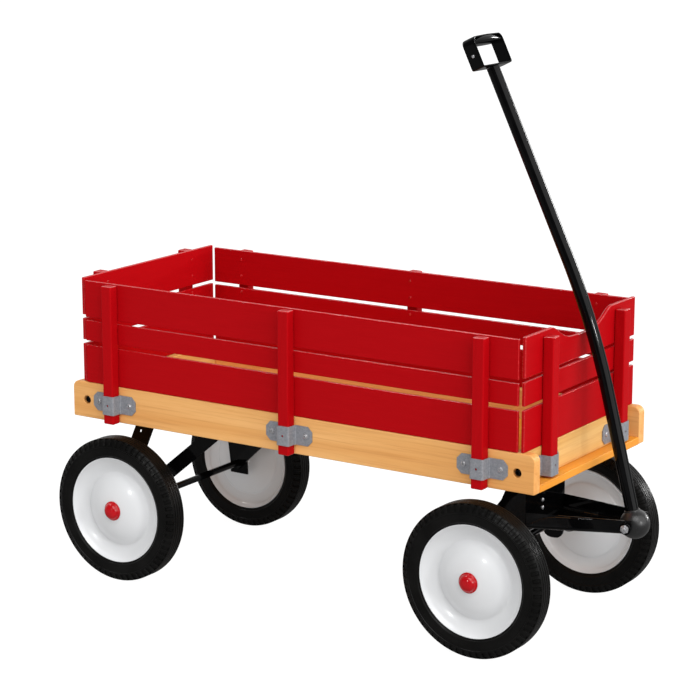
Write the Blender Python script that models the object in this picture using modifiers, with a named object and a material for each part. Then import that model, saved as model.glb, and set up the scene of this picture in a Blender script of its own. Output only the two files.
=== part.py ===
"""Kids pull wagon: a low wooden bed with lift-off slatted panels on four steel wheels.

Metres, +Z up, +X towards the pull handle, +Y to the wagon's left. The origin lies on the
ground under the middle of the whole wagon's box. Every piece is placed from the middle of
the bed, which the wagon's root empty carries.
"""

import math

import bmesh
import bpy
from mathutils import Matrix, Vector

MM = 0.001
GAP = 0.3 * MM

# Bed
BED_LENGTH = 914.4 * MM
BED_WIDTH = 381.0 * MM
RAIL_THICK = 19.0 * MM
RAIL_HEIGHT = 63.5 * MM
RAIL_BOTTOM = 279.0 * MM
RAIL_TOP = RAIL_BOTTOM + RAIL_HEIGHT
RAIL_CORNER = 12.0 * MM
FLOOR_THICK = 12.7 * MM
RAIL_OUTER_Y = BED_WIDTH / 2
RAIL_INNER_Y = RAIL_OUTER_Y - RAIL_THICK
END_FACE_X = 436.0 * MM
CROSS_THICK = 19.0 * MM
BOLT_SINK_RADIUS = 7.5 * MM
BOLT_SINK_DEPTH = 6.0 * MM
BOLT_X = END_FACE_X - CROSS_THICK / 2
BOLT_Z = RAIL_BOTTOM + RAIL_HEIGHT / 2

# Lift-off panels: heights of the three slats above the rail's top
SLAT_THICK = 6.0 * MM
SIDE_SLAT_LENGTH = 852.0 * MM
END_SLAT_LENGTH = 373.0 * MM
SIDE_SLATS = {
    "bottom": (GAP, 66.5 * MM),
    "middle": (74.0 * MM, 110.0 * MM),
    "top": (115.5 * MM, 179.5 * MM),
}
END_SLATS = {
    "bottom": (GAP, 67.5 * MM),
    "middle": (74.0 * MM, 112.0 * MM),
    "top": (118.0 * MM, 183.5 * MM),
}
SCOOP_HALF_WIDTH = 103.0 * MM
SCOOP_DEPTH = 26.5 * MM
SCOOP_STEPS = 28
STAKE_WIDE = 21.0 * MM
STAKE_THICK = 19.0 * MM
SIDE_STAKE_TOP = 178.0 * MM
END_STAKE_TOP = {"front": 175.0 * MM, "rear": 183.5 * MM}
SIDE_STAKE_X = {"front": 365.0 * MM, "middle": 0.0, "rear": -365.0 * MM}
END_STAKE_Y = 122.0 * MM

# Steel straps that hold the stakes
STRAP_HEIGHT = 33.0 * MM
STRAP_LENGTH = 91.5 * MM
STRAP_THICK = 1.5 * MM
STRAP_CORNER = 8.5 * MM
STRAP_CENTRE_Z = RAIL_BOTTOM + RAIL_HEIGHT / 2 + 1.5 * MM

# Wheels
WHEEL_RADIUS = 127.0 * MM
WHEEL_BASE = 712.0 * MM
WHEEL_CENTRE_Y = 192.5 * MM
TYRE_WIDTH = 43.0 * MM
TYRE_STEPS = 40
DISC_STEPS = 32
AXLE_RADIUS = 6.0 * MM
BORE_RADIUS = 6.35 * MM
AXLE_END_Y = 213.0 * MM
HUB_CAP_RADIUS = 17.0 * MM

# Rear axle frame
REAR_X = -WHEEL_BASE / 2
SADDLE_WIDTH = 38.0 * MM
STEEL_THICK = 3.0 * MM
BRACE_WIDTH = 25.0 * MM
LEG_HOLE_RADIUS = 2.6 * MM

# Front truck and tongue
FRONT_X = WHEEL_BASE / 2
TRUCK_HALF_WIDTH = 67.0 * MM
TRUCK_TOP = 238.0 * MM
TRUCK_FRONT_X = FRONT_X + 19.0 * MM
TRUCK_FOOT_Z = 128.0 * MM
TRUCK_FOOT_CORNER = 15.0 * MM
ARCH_Z = 155.0 * MM
ARCH_HALF = 84.0 * MM
ARCH_END = 118.0 * MM
ARCH_BEND = 16.0 * MM
KINGPIN_RADIUS = 8.0 * MM
TONGUE_THICK = 2.5 * MM
TONGUE_REAR_X = TRUCK_FRONT_X + GAP
TONGUE_FRONT_X = 545.0 * MM
TONGUE_REAR_HALF = 67.0 * MM
TONGUE_FRONT_HALF = 30.5 * MM
TONGUE_REAR_Z = (179.0 * MM, 208.0 * MM)
TONGUE_FRONT_Z = (188.5 * MM, 212.0 * MM)

# Handle
BALL_RADIUS = 24.8 * MM
BALL_X = 537.0 * MM
BALL_Z = 199.0 * MM
PIN_RADIUS = 5.0 * MM
PIN_HEAD_RADIUS = 7.5 * MM
PIN_HEAD_THICK = 6.0 * MM
TUBE_RADIUS = 10.6 * MM
TUBE_WALL = 1.5 * MM
LOWER_LEAN = math.radians(14.5)
UPPER_LEAN = math.radians(25.6)
BEND_START = 210.0 * MM
BEND_LENGTH = 230.0 * MM
TUBE_LENGTH = 764.0 * MM
GRIP_HALF_WIDTH = 46.0 * MM
GRIP_SIDE = 41.0 * MM
GRIP_CROWN = 53.0 * MM
GRIP_DEPTH = 24.0 * MM
GRIP_STRAP = 3.0 * MM
GRIP_BAR = 10.0 * MM
GRIP_CORNER = 16.0 * MM

# The whole wagon runs from the rear tyres' backs to the front of the ball.
BED_CENTRE_X = -(BALL_X + BALL_RADIUS - WHEEL_BASE / 2 - WHEEL_RADIUS) / 2

PAINTED_WOOD = ("red_painted_wood", (0.52, 0.008, 0.012), 0.32, 0.0)
RAIL_WOOD = ("rail_wood", (0.72, 0.40, 0.16), 0.5, 0.0)
FLOOR_WOOD = ("floor_wood", (0.80, 0.42, 0.10), 0.5, 0.0)
ZINC = ("galvanised_steel", (0.42, 0.44, 0.48), 0.35, 0.9)
BLACK_STEEL = ("black_painted_steel", (0.008, 0.008, 0.009), 0.22, 0.0)
WHITE_STEEL = ("white_painted_steel", (0.80, 0.80, 0.81), 0.22, 0.0)
BARE_STEEL = ("bare_steel", (0.55, 0.55, 0.56), 0.3, 1.0)
TYRE_RUBBER = ("tyre_rubber", (0.012, 0.012, 0.012), 0.6, 0.0)
RED_CAP = ("red_cap_plastic", (0.55, 0.008, 0.012), 0.25, 0.0)
BALL_PLASTIC = ("black_ball_plastic", (0.015, 0.015, 0.016), 0.3, 0.0)

PARTS = None
CUTTERS = None


def clear_scene():
    """Remove everything that the file holds."""
    for item in list(bpy.data.objects):
        bpy.data.objects.remove(item, do_unlink=True)


def make_collections():
    """One collection for the wagon and one for the cutters."""
    global PARTS, CUTTERS
    PARTS = bpy.data.collections.new("pull_wagon")
    CUTTERS = bpy.data.collections.new("cutters")
    for group in (PARTS, CUTTERS):
        bpy.context.scene.collection.children.link(group)


def material(finish):
    """A Principled material from (name, colour, roughness, metallic), made once."""
    name, colour, roughness, metallic = finish
    made = bpy.data.materials.get(name)
    if made is None:
        made = bpy.data.materials.new(name)
        made.use_nodes = True
        shader = made.node_tree.nodes["Principled BSDF"]
        shader.inputs["Base Color"].default_value = (*colour, 1.0)
        shader.inputs["Roughness"].default_value = roughness
        shader.inputs["Metallic"].default_value = metallic
        made.diffuse_color = (*colour, 1.0)
    return made


def empty(name, parent, location=(0, 0, 0)):
    """An empty that stands on a joint's axis, or at the middle of the bed."""
    holder = bpy.data.objects.new(name, None)
    holder.empty_display_size = 0.05
    holder.location = location
    holder.parent = parent
    PARTS.objects.link(holder)
    return holder


def add_part(name, mesh, finish, parent, location=(0, 0, 0), rotation=(0, 0, 0)):
    """Put a mesh in the scene as one named piece of the wagon."""
    piece = bpy.data.objects.new(name, mesh)
    piece.location = location
    piece.rotation_euler = rotation
    piece.parent = parent
    mesh.materials.append(material(finish))
    PARTS.objects.link(piece)
    return piece


def add_cutter(name, mesh, parent, location=(0, 0, 0), rotation=(0, 0, 0)):
    """A hidden solid for a Boolean."""
    cutter = bpy.data.objects.new(name, mesh)
    cutter.location = location
    cutter.rotation_euler = rotation
    cutter.parent = parent
    cutter.hide_render = True
    cutter.display_type = "WIRE"
    CUTTERS.objects.link(cutter)
    return cutter


def boolean(piece, other, operation="DIFFERENCE"):
    """Cut or join a piece with a hidden solid."""
    step = piece.modifiers.new(other.name, "BOOLEAN")
    step.object = other
    step.operation = operation
    step.solver = "EXACT"


def bevel(piece, width, segments=1):
    """Break a piece's sharp edges."""
    step = piece.modifiers.new("edges", "BEVEL")
    step.width = width
    step.segments = segments
    step.limit_method = "ANGLE"
    step.angle_limit = math.radians(35)


def smooth(mesh, angle=35):
    """Smooth shading with sharp creases kept."""
    mesh.shade_smooth()
    mesh.set_sharp_from_angle(angle=math.radians(angle))


def box_mesh(name, size):
    """A box about its own middle."""
    mesh = bpy.data.meshes.new(name)
    work = bmesh.new()
    bmesh.ops.create_cube(work, size=1.0)
    bmesh.ops.scale(work, vec=size, verts=work.verts)
    work.to_mesh(mesh)
    work.free()
    return mesh


def box(name, low, high, finish, parent, edge=0.0):
    """A board or block between two corners, with its origin at its middle."""
    low, high = Vector(low), Vector(high)
    piece = add_part(name, box_mesh(name, high - low), finish, parent, (low + high) / 2)
    if edge:
        bevel(piece, edge)
    return piece


def box_cutter(name, low, high, parent):
    """A hidden box between two corners."""
    low, high = Vector(low), Vector(high)
    return add_cutter(name, box_mesh(name, high - low), parent, (low + high) / 2)


def rod_mesh(name, radius, length, sides=24):
    """A cylinder along Z about its own middle."""
    mesh = bpy.data.meshes.new(name)
    work = bmesh.new()
    bmesh.ops.create_cone(
        work, cap_ends=True, segments=sides, radius1=radius, radius2=radius, depth=length
    )
    work.to_mesh(mesh)
    work.free()
    smooth(mesh)
    return mesh


def outline_mesh(name, outlines, depth):
    """A flat outline in local XY, holes included, given a thickness along local Z."""
    curve = bpy.data.curves.new(name, "CURVE")
    curve.dimensions = "2D"
    curve.fill_mode = "BOTH"
    curve.extrude = depth / 2
    for outline in outlines:
        spline = curve.splines.new("POLY")
        spline.points.add(len(outline) - 1)
        for point, (x, y) in zip(spline.points, outline):
            point.co = (x, y, 0, 1)
        spline.use_cyclic_u = True
    return curve_to_mesh(name, curve)


def curve_to_mesh(name, curve):
    """A curve's evaluated surface as a welded mesh."""
    guide = bpy.data.objects.new(name + "_guide", curve)
    bpy.context.scene.collection.objects.link(guide)
    shape = guide.evaluated_get(bpy.context.evaluated_depsgraph_get())
    mesh = bpy.data.meshes.new_from_object(shape)
    mesh.name = name
    bpy.data.objects.remove(guide, do_unlink=True)
    work = bmesh.new()
    work.from_mesh(mesh)
    bmesh.ops.remove_doubles(work, verts=work.verts, dist=1e-6)
    bmesh.ops.recalc_face_normals(work, faces=work.faces)
    work.to_mesh(mesh)
    work.free()
    mesh.materials.clear()
    return mesh


def turned(name, profile, steps, finish, parent, location, rotation, closed=True, phase=0.0):
    """A profile of (radius, height) turned about local Z; its outer side runs downwards."""
    mesh = bpy.data.meshes.new(name)
    work = bmesh.new()
    corners = [
        work.verts.new((r * math.cos(phase), r * math.sin(phase), z)) for r, z in profile
    ]
    for first, second in zip(corners, corners[1:]):
        work.edges.new((first, second))
    if closed:
        work.edges.new((corners[-1], corners[0]))
    work.to_mesh(mesh)
    work.free()
    piece = add_part(name, mesh, finish, parent, location, rotation)
    spin = piece.modifiers.new("turn", "SCREW")
    spin.axis = "Z"
    spin.angle = 2 * math.pi
    spin.steps = steps
    spin.render_steps = steps
    spin.use_merge_vertices = True
    spin.merge_threshold = 1e-6
    spin.use_smooth_shade = True
    return piece


def strip_mesh(name, path, half_widths):
    """A strip that follows a path in local XY and is as wide along Z as each station says."""
    mesh = bpy.data.meshes.new(name)
    work = bmesh.new()
    lower = [work.verts.new((x, y, -half)) for (x, y), half in zip(path, half_widths)]
    run = [work.edges.new(pair) for pair in zip(lower, lower[1:])]
    raised = bmesh.ops.extrude_edge_only(work, edges=run)["geom"]
    for corner in raised:
        if isinstance(corner, bmesh.types.BMVert):
            corner.co.z = -corner.co.z
    bmesh.ops.recalc_face_normals(work, faces=work.faces)
    work.to_mesh(mesh)
    work.free()
    return mesh


def thicken(piece, thickness, offset=0.0):
    """Give an open surface a thickness."""
    shell = piece.modifiers.new("thickness", "SOLIDIFY")
    shell.thickness = thickness
    shell.offset = offset
    shell.use_even_offset = True


def arc_points(centre, radius, start, end, count):
    """Points along an arc, angles in degrees."""
    points = []
    for index in range(count + 1):
        angle = math.radians(start + (end - start) * index / count)
        points.append((centre[0] + radius * math.cos(angle), centre[1] + radius * math.sin(angle)))
    return points


def sides():
    """The wagon's two sides: a name and the sign of Y."""
    return (("left", 1.0), ("right", -1.0))


def ends():
    """The wagon's two ends: a name and the sign of X."""
    return (("front", 1.0), ("rear", -1.0))


# ---------------------------------------------------------------- bed


def rail_outline():
    """A rail seen from the side: square below, rounded at its top corners."""
    half = BED_LENGTH / 2
    top = RAIL_HEIGHT
    centre_x = half - RAIL_CORNER
    centre_z = top - RAIL_CORNER
    outline = [(-half, 0.0), (half, 0.0)]
    outline += arc_points((centre_x, centre_z), RAIL_CORNER, 0, 90, 5)
    outline += arc_points((-centre_x, centre_z), RAIL_CORNER, 90, 180, 5)
    return outline


def make_rails(bed):
    """Two long side rails, each with two sunk holes for the cross boards' bolts."""
    for side, sign in sides():
        mesh = outline_mesh("rail_" + side, [rail_outline()], RAIL_THICK)
        middle = sign * (RAIL_OUTER_Y - RAIL_THICK / 2)
        rail = add_part(
            "rail_" + side, mesh, RAIL_WOOD, bed, (0, middle, RAIL_BOTTOM), (math.pi / 2, 0, 0)
        )
        bevel(rail, 1.5 * MM)
        for end, way in ends():
            sink = add_cutter(
                "bolt_sink_" + side + "_" + end,
                rod_mesh("bolt_sink", BOLT_SINK_RADIUS, 2 * BOLT_SINK_DEPTH, 20),
                bed,
                (way * BOLT_X, sign * RAIL_OUTER_Y, BOLT_Z),
                (math.pi / 2, 0, 0),
            )
            boolean(rail, sink)


def make_floor(bed):
    """One floor board between the rails, a hair lower where the cross boards stand on it."""
    half_width = RAIL_INNER_Y - GAP
    half_length = BED_LENGTH / 2
    top = RAIL_BOTTOM + FLOOR_THICK
    floor = box(
        "floor_board",
        (-half_length, -half_width, RAIL_BOTTOM),
        (half_length, half_width, top),
        FLOOR_WOOD,
        bed,
        1.0 * MM,
    )
    for end, way in ends():
        inner, outer = sorted((way * (END_FACE_X - CROSS_THICK - GAP), way * (half_length + GAP)))
        low, high = (inner, -BED_WIDTH, top - GAP), (outer, BED_WIDTH, top + GAP)
        boolean(floor, box_cutter("floor_rebate_" + end, low, high, bed))


def make_cross_boards(bed):
    """A board across each end, on the floor board and between the rails."""
    half_width = RAIL_INNER_Y - GAP
    for end, way in ends():
        inner, outer = sorted((way * (END_FACE_X - CROSS_THICK), way * END_FACE_X))
        box(
            "cross_board_" + end,
            (inner, -half_width, RAIL_BOTTOM + FLOOR_THICK),
            (outer, half_width, RAIL_TOP),
            RAIL_WOOD,
            bed,
            1.5 * MM,
        )


def stake_strap(name, bed, location, turn):
    """A hat-shaped steel strap that wraps a stake; local +Y points away from the board."""
    half = STRAP_LENGTH / 2
    foot = GAP + STRAP_THICK / 2
    crown = GAP + STAKE_THICK + GAP + STRAP_THICK / 2
    cheek = STAKE_WIDE / 2 + 0.4 * MM + STRAP_THICK / 2
    half_height = STRAP_HEIGHT / 2
    path = [
        (-half, foot),
        (-half + STRAP_CORNER, foot),
        (-cheek - 1.0 * MM, foot),
        (-cheek, crown),
        (cheek, crown),
        (cheek + 1.0 * MM, foot),
        (half - STRAP_CORNER, foot),
        (half, foot),
    ]
    tip = half_height - STRAP_CORNER
    half_widths = [tip] + [half_height] * (len(path) - 2) + [tip]
    strap = add_part(name, strip_mesh(name, path, half_widths), ZINC, bed, location, (0, 0, turn))
    thicken(strap, STRAP_THICK)


def make_stake_straps(bed):
    """Three straps on each rail and two on each cross board."""
    for side, sign in sides():
        turn = 0.0 if sign > 0 else math.pi
        for place, x in SIDE_STAKE_X.items():
            name = "strap_" + side + "_" + place
            stake_strap(name, bed, (x, sign * RAIL_OUTER_Y, STRAP_CENTRE_Z), turn)
    for end, way in ends():
        for side, sign in sides():
            name = "strap_" + end + "_" + side
            spot = (way * END_FACE_X, sign * END_STAKE_Y, STRAP_CENTRE_Z)
            stake_strap(name, bed, spot, -way * math.pi / 2)


# ---------------------------------------------------------------- panels


def scooped_outline(bottom, top):
    """The front panel's top slat, dipping smoothly in its middle where the handle leans."""
    half = END_SLAT_LENGTH / 2
    outline = [(-half, bottom), (half, bottom), (half, top)]
    for index in range(SCOOP_STEPS + 1):
        share = 1.0 - 2.0 * index / SCOOP_STEPS
        rise = (1.0 - math.cos(math.pi * share**2)) / 2
        outline.append((SCOOP_HALF_WIDTH * share, top - SCOOP_DEPTH * (1.0 - rise)))
    outline.append((-half, top))
    return outline


def make_side_panels(bed):
    """Three slats on three stakes at each side; the panel lifts straight up."""
    for side, sign in sides():
        panel = empty("side_panel_" + side + "_lift", bed, (0, sign * RAIL_OUTER_Y, RAIL_TOP))
        inner, outer = sorted((-sign * SLAT_THICK, 0.0))
        for level, (bottom, top) in SIDE_SLATS.items():
            box(
                "slat_" + side + "_" + level,
                (-SIDE_SLAT_LENGTH / 2, inner, bottom),
                (SIDE_SLAT_LENGTH / 2, outer, top),
                PAINTED_WOOD,
                panel,
                1.2 * MM,
            )
        near, far = sorted((sign * GAP, sign * (GAP + STAKE_THICK - GAP / 2)))
        for place, x in SIDE_STAKE_X.items():
            box(
                "stake_" + side + "_" + place,
                (x - STAKE_WIDE / 2, near, RAIL_BOTTOM - RAIL_TOP),
                (x + STAKE_WIDE / 2, far, SIDE_STAKE_TOP),
                PAINTED_WOOD,
                panel,
                1.5 * MM,
            )


def make_end_panels(bed):
    """Three slats on two stakes at each end; the front one is scooped for the handle."""
    half = END_SLAT_LENGTH / 2
    for end, way in ends():
        panel = empty("end_panel_" + end + "_lift", bed, (way * END_FACE_X, 0, RAIL_TOP))
        inner, outer = sorted((-way * SLAT_THICK, 0.0))
        for level, (bottom, top) in END_SLATS.items():
            name = "slat_" + end + "_" + level
            if end == "front" and level == "top":
                mesh = outline_mesh(name, [scooped_outline(bottom, top)], SLAT_THICK)
                turn = Matrix.Rotation(math.pi / 2, 3, "Z") @ Matrix.Rotation(math.pi / 2, 3, "X")
                spot = ((inner + outer) / 2, 0, 0)
                slat = add_part(name, mesh, PAINTED_WOOD, panel, spot, turn.to_euler())
                bevel(slat, 1.2 * MM)
            else:
                low, high = (inner, -half, bottom), (outer, half, top)
                box(name, low, high, PAINTED_WOOD, panel, 1.2 * MM)
        near, far = sorted((way * GAP, way * (GAP + STAKE_THICK - GAP / 2)))
        foot = RAIL_BOTTOM + FLOOR_THICK + 2.0 * MM - RAIL_TOP
        for side, sign in sides():
            y = sign * END_STAKE_Y
            box(
                "stake_" + end + "_" + side,
                (near, y - STAKE_WIDE / 2, foot),
                (far, y + STAKE_WIDE / 2, END_STAKE_TOP[end]),
                PAINTED_WOOD,
                panel,
                1.5 * MM,
            )


# ---------------------------------------------------------------- rear axle frame


def make_rear_axle(bed):
    """A bent steel saddle with two braces, and the fixed rod that both rear wheels turn on."""
    top = RAIL_BOTTOM - GAP - STEEL_THICK / 2
    half_path = [
        (160.5 * MM, 106.0 * MM),
        (159.0 * MM, 130.0 * MM),
        (143.0 * MM, 224.0 * MM),
        (107.0 * MM, top),
    ]
    path = [(-y, z) for y, z in half_path] + [(y, z) for y, z in reversed(half_path)]
    frame = add_part(
        "rear_axle_frame",
        strip_mesh("rear_axle_frame", path, [SADDLE_WIDTH / 2] * len(path)),
        BLACK_STEEL,
        bed,
        (REAR_X, 0, 0),
        (math.pi / 2, 0, math.pi / 2),
    )
    thicken(frame, STEEL_THICK)
    for side, sign in sides():
        join_rear_brace(frame, side, sign, bed)
    bore = rod_mesh("axle_bore", BORE_RADIUS, 2 * WHEEL_CENTRE_Y, 20)
    hub = (REAR_X, 0, WHEEL_RADIUS)
    boolean(frame, add_cutter("rear_axle_bore", bore, bed, hub, (math.pi / 2, 0, 0)))
    hole = rod_mesh("leg_hole", LEG_HOLE_RADIUS, 2 * WHEEL_CENTRE_Y, 12)
    spot = (REAR_X - 5.0 * MM, 0, 250.0 * MM)
    boolean(frame, add_cutter("rear_leg_hole", hole, bed, spot, (math.pi / 2, 0, 0)))
    add_part(
        "rear_axle",
        rod_mesh("rear_axle", AXLE_RADIUS, 2 * AXLE_END_Y, 20),
        BLACK_STEEL,
        bed,
        (REAR_X, 0, WHEEL_RADIUS),
        (math.pi / 2, 0, 0),
    )


def join_rear_brace(frame, side, sign, bed):
    """A flat brace from the axle up and forwards to a foot under the floor board."""
    foot_top = RAIL_BOTTOM - GAP
    start = Vector((REAR_X - 2.0 * MM, sign * 156.5 * MM, WHEEL_RADIUS + 1.0 * MM))
    end = Vector((REAR_X + 163.0 * MM, sign * 130.0 * MM, foot_top - 6.0 * MM))
    run = end - start
    across = Vector((0, 1, 0))
    along = run.normalized()
    wide = along.cross(across).normalized()
    thin = wide.cross(along).normalized()
    turn = Matrix((along, wide, thin)).transposed().to_euler()
    strut = box_mesh("brace_" + side, (run.length + 12.0 * MM, BRACE_WIDTH, STEEL_THICK))
    boolean(frame, add_cutter("brace_" + side, strut, bed, (start + end) / 2, turn), "UNION")
    foot = box_cutter(
        "brace_foot_" + side,
        (end.x - 14.0 * MM, min(end.y, end.y - sign * 30.0 * MM), foot_top - 9.0 * MM),
        (end.x + 16.0 * MM, max(end.y, end.y - sign * 30.0 * MM), foot_top),
        bed,
    )
    boolean(frame, foot, "UNION")
    trim = box_cutter(
        "brace_trim_" + side,
        (end.x - 60.0 * MM, -WHEEL_CENTRE_Y, foot_top),
        (end.x + 60.0 * MM, WHEEL_CENTRE_Y, foot_top + 30.0 * MM),
        bed,
    )
    boolean(frame, trim)


# ---------------------------------------------------------------- front truck


def truck_outline():
    """The truck's cheek from the side: a narrow head, a flared waist and a round foot."""
    front = TRUCK_FRONT_X - FRONT_X
    foot = TRUCK_FOOT_Z
    corner = TRUCK_FOOT_CORNER
    points = [(front, TRUCK_TOP), (-front, TRUCK_TOP)]
    points += [(-26.0 * MM, 222.0 * MM), (-36.0 * MM, 209.0 * MM), (-37.0 * MM, 198.0 * MM)]
    points += [(-27.0 * MM, 160.0 * MM)]
    points += arc_points((corner - front, foot + corner), corner, 180, 270, 4)
    points += arc_points((front - corner, foot + corner), corner, 270, 360, 4)
    return points


def make_truck(bed, truck):
    """The steered bracket, with the front axle through its cheeks."""
    deep = 2 * TRUCK_HALF_WIDTH
    mesh = outline_mesh("truck_bracket", [truck_outline()], deep)
    bracket = add_part(
        "truck_bracket", mesh, BLACK_STEEL, truck, (0, 0, 0), (math.pi / 2, 0, 0)
    )
    inner = TRUCK_HALF_WIDTH - STEEL_THICK
    front = TRUCK_FRONT_X - FRONT_X
    pocket = box_cutter(
        "truck_pocket",
        (-16.0 * MM, -inner, 0),
        (front - STEEL_THICK, inner, TRUCK_TOP - STEEL_THICK),
        truck,
    )
    window = box_cutter("truck_window", (-0.1, -inner, 0), (0.1, inner, 186.0 * MM), truck)
    pin_hole = add_cutter(
        "kingpin_hole",
        rod_mesh("kingpin_hole", KINGPIN_RADIUS + GAP, 20.0 * MM, 20),
        truck,
        (0, 0, TRUCK_TOP),
    )
    axle_bore = add_cutter(
        "front_axle_bore",
        rod_mesh("front_axle_bore", BORE_RADIUS, 2 * WHEEL_CENTRE_Y, 20),
        truck,
        (0, 0, ARCH_Z),
        (math.pi / 2, 0, 0),
    )
    for cutter in (pocket, window, pin_hole, axle_bore):
        boolean(bracket, cutter)
    make_front_axle(truck)
    make_bolster(bed)


def make_front_axle(truck):
    """A rod that arches up between the wheels to pass through the truck's cheeks."""
    corners = [
        (-AXLE_END_Y, WHEEL_RADIUS),
        (-ARCH_END, WHEEL_RADIUS),
        (-ARCH_HALF, ARCH_Z),
        (ARCH_HALF, ARCH_Z),
        (ARCH_END, WHEEL_RADIUS),
        (AXLE_END_Y, WHEEL_RADIUS),
    ]
    curve = bpy.data.curves.new("front_axle", "CURVE")
    curve.dimensions = "3D"
    curve.bevel_depth = AXLE_RADIUS
    curve.bevel_resolution = 3
    curve.use_fill_caps = True
    path = rounded_path(corners, ARCH_BEND)
    spline = curve.splines.new("POLY")
    spline.points.add(len(path) - 1)
    for point, spot in zip(spline.points, path):
        point.co = (0, spot.x, spot.y, 1)
    mesh = curve_to_mesh("front_axle", curve)
    smooth(mesh)
    add_part("front_axle", mesh, BLACK_STEEL, truck)


def rounded_path(points, radius, count=4):
    """An open path whose inner corners are rounded."""
    path = [Vector(points[0])]
    for before, corner, after in zip(points, points[1:], points[2:]):
        corner = Vector(corner)
        back, ahead = Vector(before) - corner, Vector(after) - corner
        first = corner + back.normalized() * radius
        last = corner + ahead.normalized() * radius
        for index in range(count + 1):
            share = index / count
            inner = corner * 2 * share * (1 - share)
            path.append(first * (1 - share) ** 2 + inner + last * share**2)
    path.append(Vector(points[-1]))
    return path


def make_bolster(bed):
    """The fixed seat under the floor board that the truck turns against, and its kingpin."""
    top = RAIL_BOTTOM - GAP
    seat = TRUCK_TOP + GAP
    bolster = [
        (58.0 * MM, top),
        (58.0 * MM, top - 5.0 * MM),
        (40.0 * MM, top - 16.0 * MM),
        (34.0 * MM, seat),
        (KINGPIN_RADIUS + GAP, seat),
        (KINGPIN_RADIUS + GAP, seat + 22.0 * MM),
        (14.5 * MM, seat + 22.0 * MM),
        (14.5 * MM, top),
    ]
    turned("front_bolster", bolster, 28, BLACK_STEEL, bed, (FRONT_X, 0, 0), (0, 0, 0))
    head = seat + 22.0 * MM + GAP
    collar = TRUCK_TOP - STEEL_THICK - GAP
    kingpin = [
        (0.0, head + 9.0 * MM),
        (14.0 * MM, head + 9.0 * MM),
        (14.0 * MM, head),
        (KINGPIN_RADIUS, head),
        (KINGPIN_RADIUS, collar),
        (12.5 * MM, collar),
        (12.5 * MM, collar - 9.0 * MM),
        (0.0, collar - 9.0 * MM),
    ]
    turned("kingpin", kingpin, 20, BARE_STEEL, bed, (FRONT_X, 0, 0), (0, 0, 0), closed=False)


def tapered_block(name, x_range, rear_half, front_half, rear_z, front_z):
    """A block that narrows and climbs from its rear to its front."""
    mesh = box_mesh(name, (1, 1, 1))
    for corner in mesh.vertices:
        at_front = corner.co.x > 0
        half = front_half if at_front else rear_half
        heights = front_z if at_front else rear_z
        corner.co = (
            x_range[1] if at_front else x_range[0],
            half if corner.co.y > 0 else -half,
            heights[1] if corner.co.z > 0 else heights[0],
        )
    return mesh


def make_tongue(truck):
    """An open-topped steel channel that narrows to the ball, and the ball's pin."""
    start, stop = TONGUE_REAR_X - FRONT_X, TONGUE_FRONT_X - FRONT_X
    mesh = tapered_block(
        "tongue", (start, stop), TONGUE_REAR_HALF, TONGUE_FRONT_HALF, TONGUE_REAR_Z, TONGUE_FRONT_Z
    )
    tongue = add_part("tongue", mesh, BLACK_STEEL, truck)
    bevel(tongue, 2.0 * MM)
    wall, reach, lift = TONGUE_THICK, 5.0 * MM, 40.0 * MM
    hollow = tapered_block(
        "tongue_hollow",
        (start - reach, stop + reach),
        TONGUE_REAR_HALF - wall + 1.1 * MM,
        TONGUE_FRONT_HALF - wall - 1.1 * MM,
        (TONGUE_REAR_Z[0] + wall, TONGUE_REAR_Z[1] + lift),
        (TONGUE_FRONT_Z[0] + wall, TONGUE_FRONT_Z[1] + lift),
    )
    boolean(tongue, add_cutter("tongue_hollow", hollow, truck))
    mouth_x = BALL_X - FRONT_X - BALL_RADIUS - 4.0 * MM
    mouth_half = TONGUE_FRONT_HALF - wall - 1.0 * MM
    mouth = box_cutter(
        "tongue_mouth", (mouth_x, -mouth_half, 0.1), (mouth_x + 0.1, mouth_half, 0.3), truck
    )
    boolean(tongue, mouth)
    bore = rod_mesh("pin_bore", PIN_RADIUS + GAP, 0.2, 16)
    spot = (BALL_X - FRONT_X, 0, BALL_Z)
    boolean(tongue, add_cutter("tongue_pin_bore", bore, truck, spot, (math.pi / 2, 0, 0)))
    taper = (TONGUE_REAR_HALF - TONGUE_FRONT_HALF) / (TONGUE_FRONT_X - TONGUE_REAR_X)
    face = TONGUE_FRONT_HALF + taper * (TONGUE_FRONT_X - BALL_X + PIN_HEAD_RADIUS) + GAP
    end = face + PIN_HEAD_THICK
    pin = [
        (0.0, end),
        (PIN_HEAD_RADIUS, end),
        (PIN_HEAD_RADIUS, face),
        (PIN_RADIUS, face),
        (PIN_RADIUS, -face),
        (PIN_HEAD_RADIUS, -face),
        (PIN_HEAD_RADIUS, -end),
        (0.0, -end),
    ]
    turned("ball_pin", pin, 16, BARE_STEEL, truck, spot, (math.pi / 2, 0, 0), closed=False)


# ---------------------------------------------------------------- handle


def handle_point(distance):
    """Where the tube's centreline is at a distance from the ball, and how far it leans back."""
    steps = 40
    x = z = 0.0
    lean = LOWER_LEAN
    for index in range(steps):
        here = distance * (index + 0.5) / steps
        bent = min(max((here - BEND_START) / BEND_LENGTH, 0.0), 1.0)
        lean = LOWER_LEAN + (UPPER_LEAN - LOWER_LEAN) * bent
        x -= math.sin(lean) * distance / steps
        z += math.cos(lean) * distance / steps
    return Vector((x, 0, z)), lean


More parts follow.
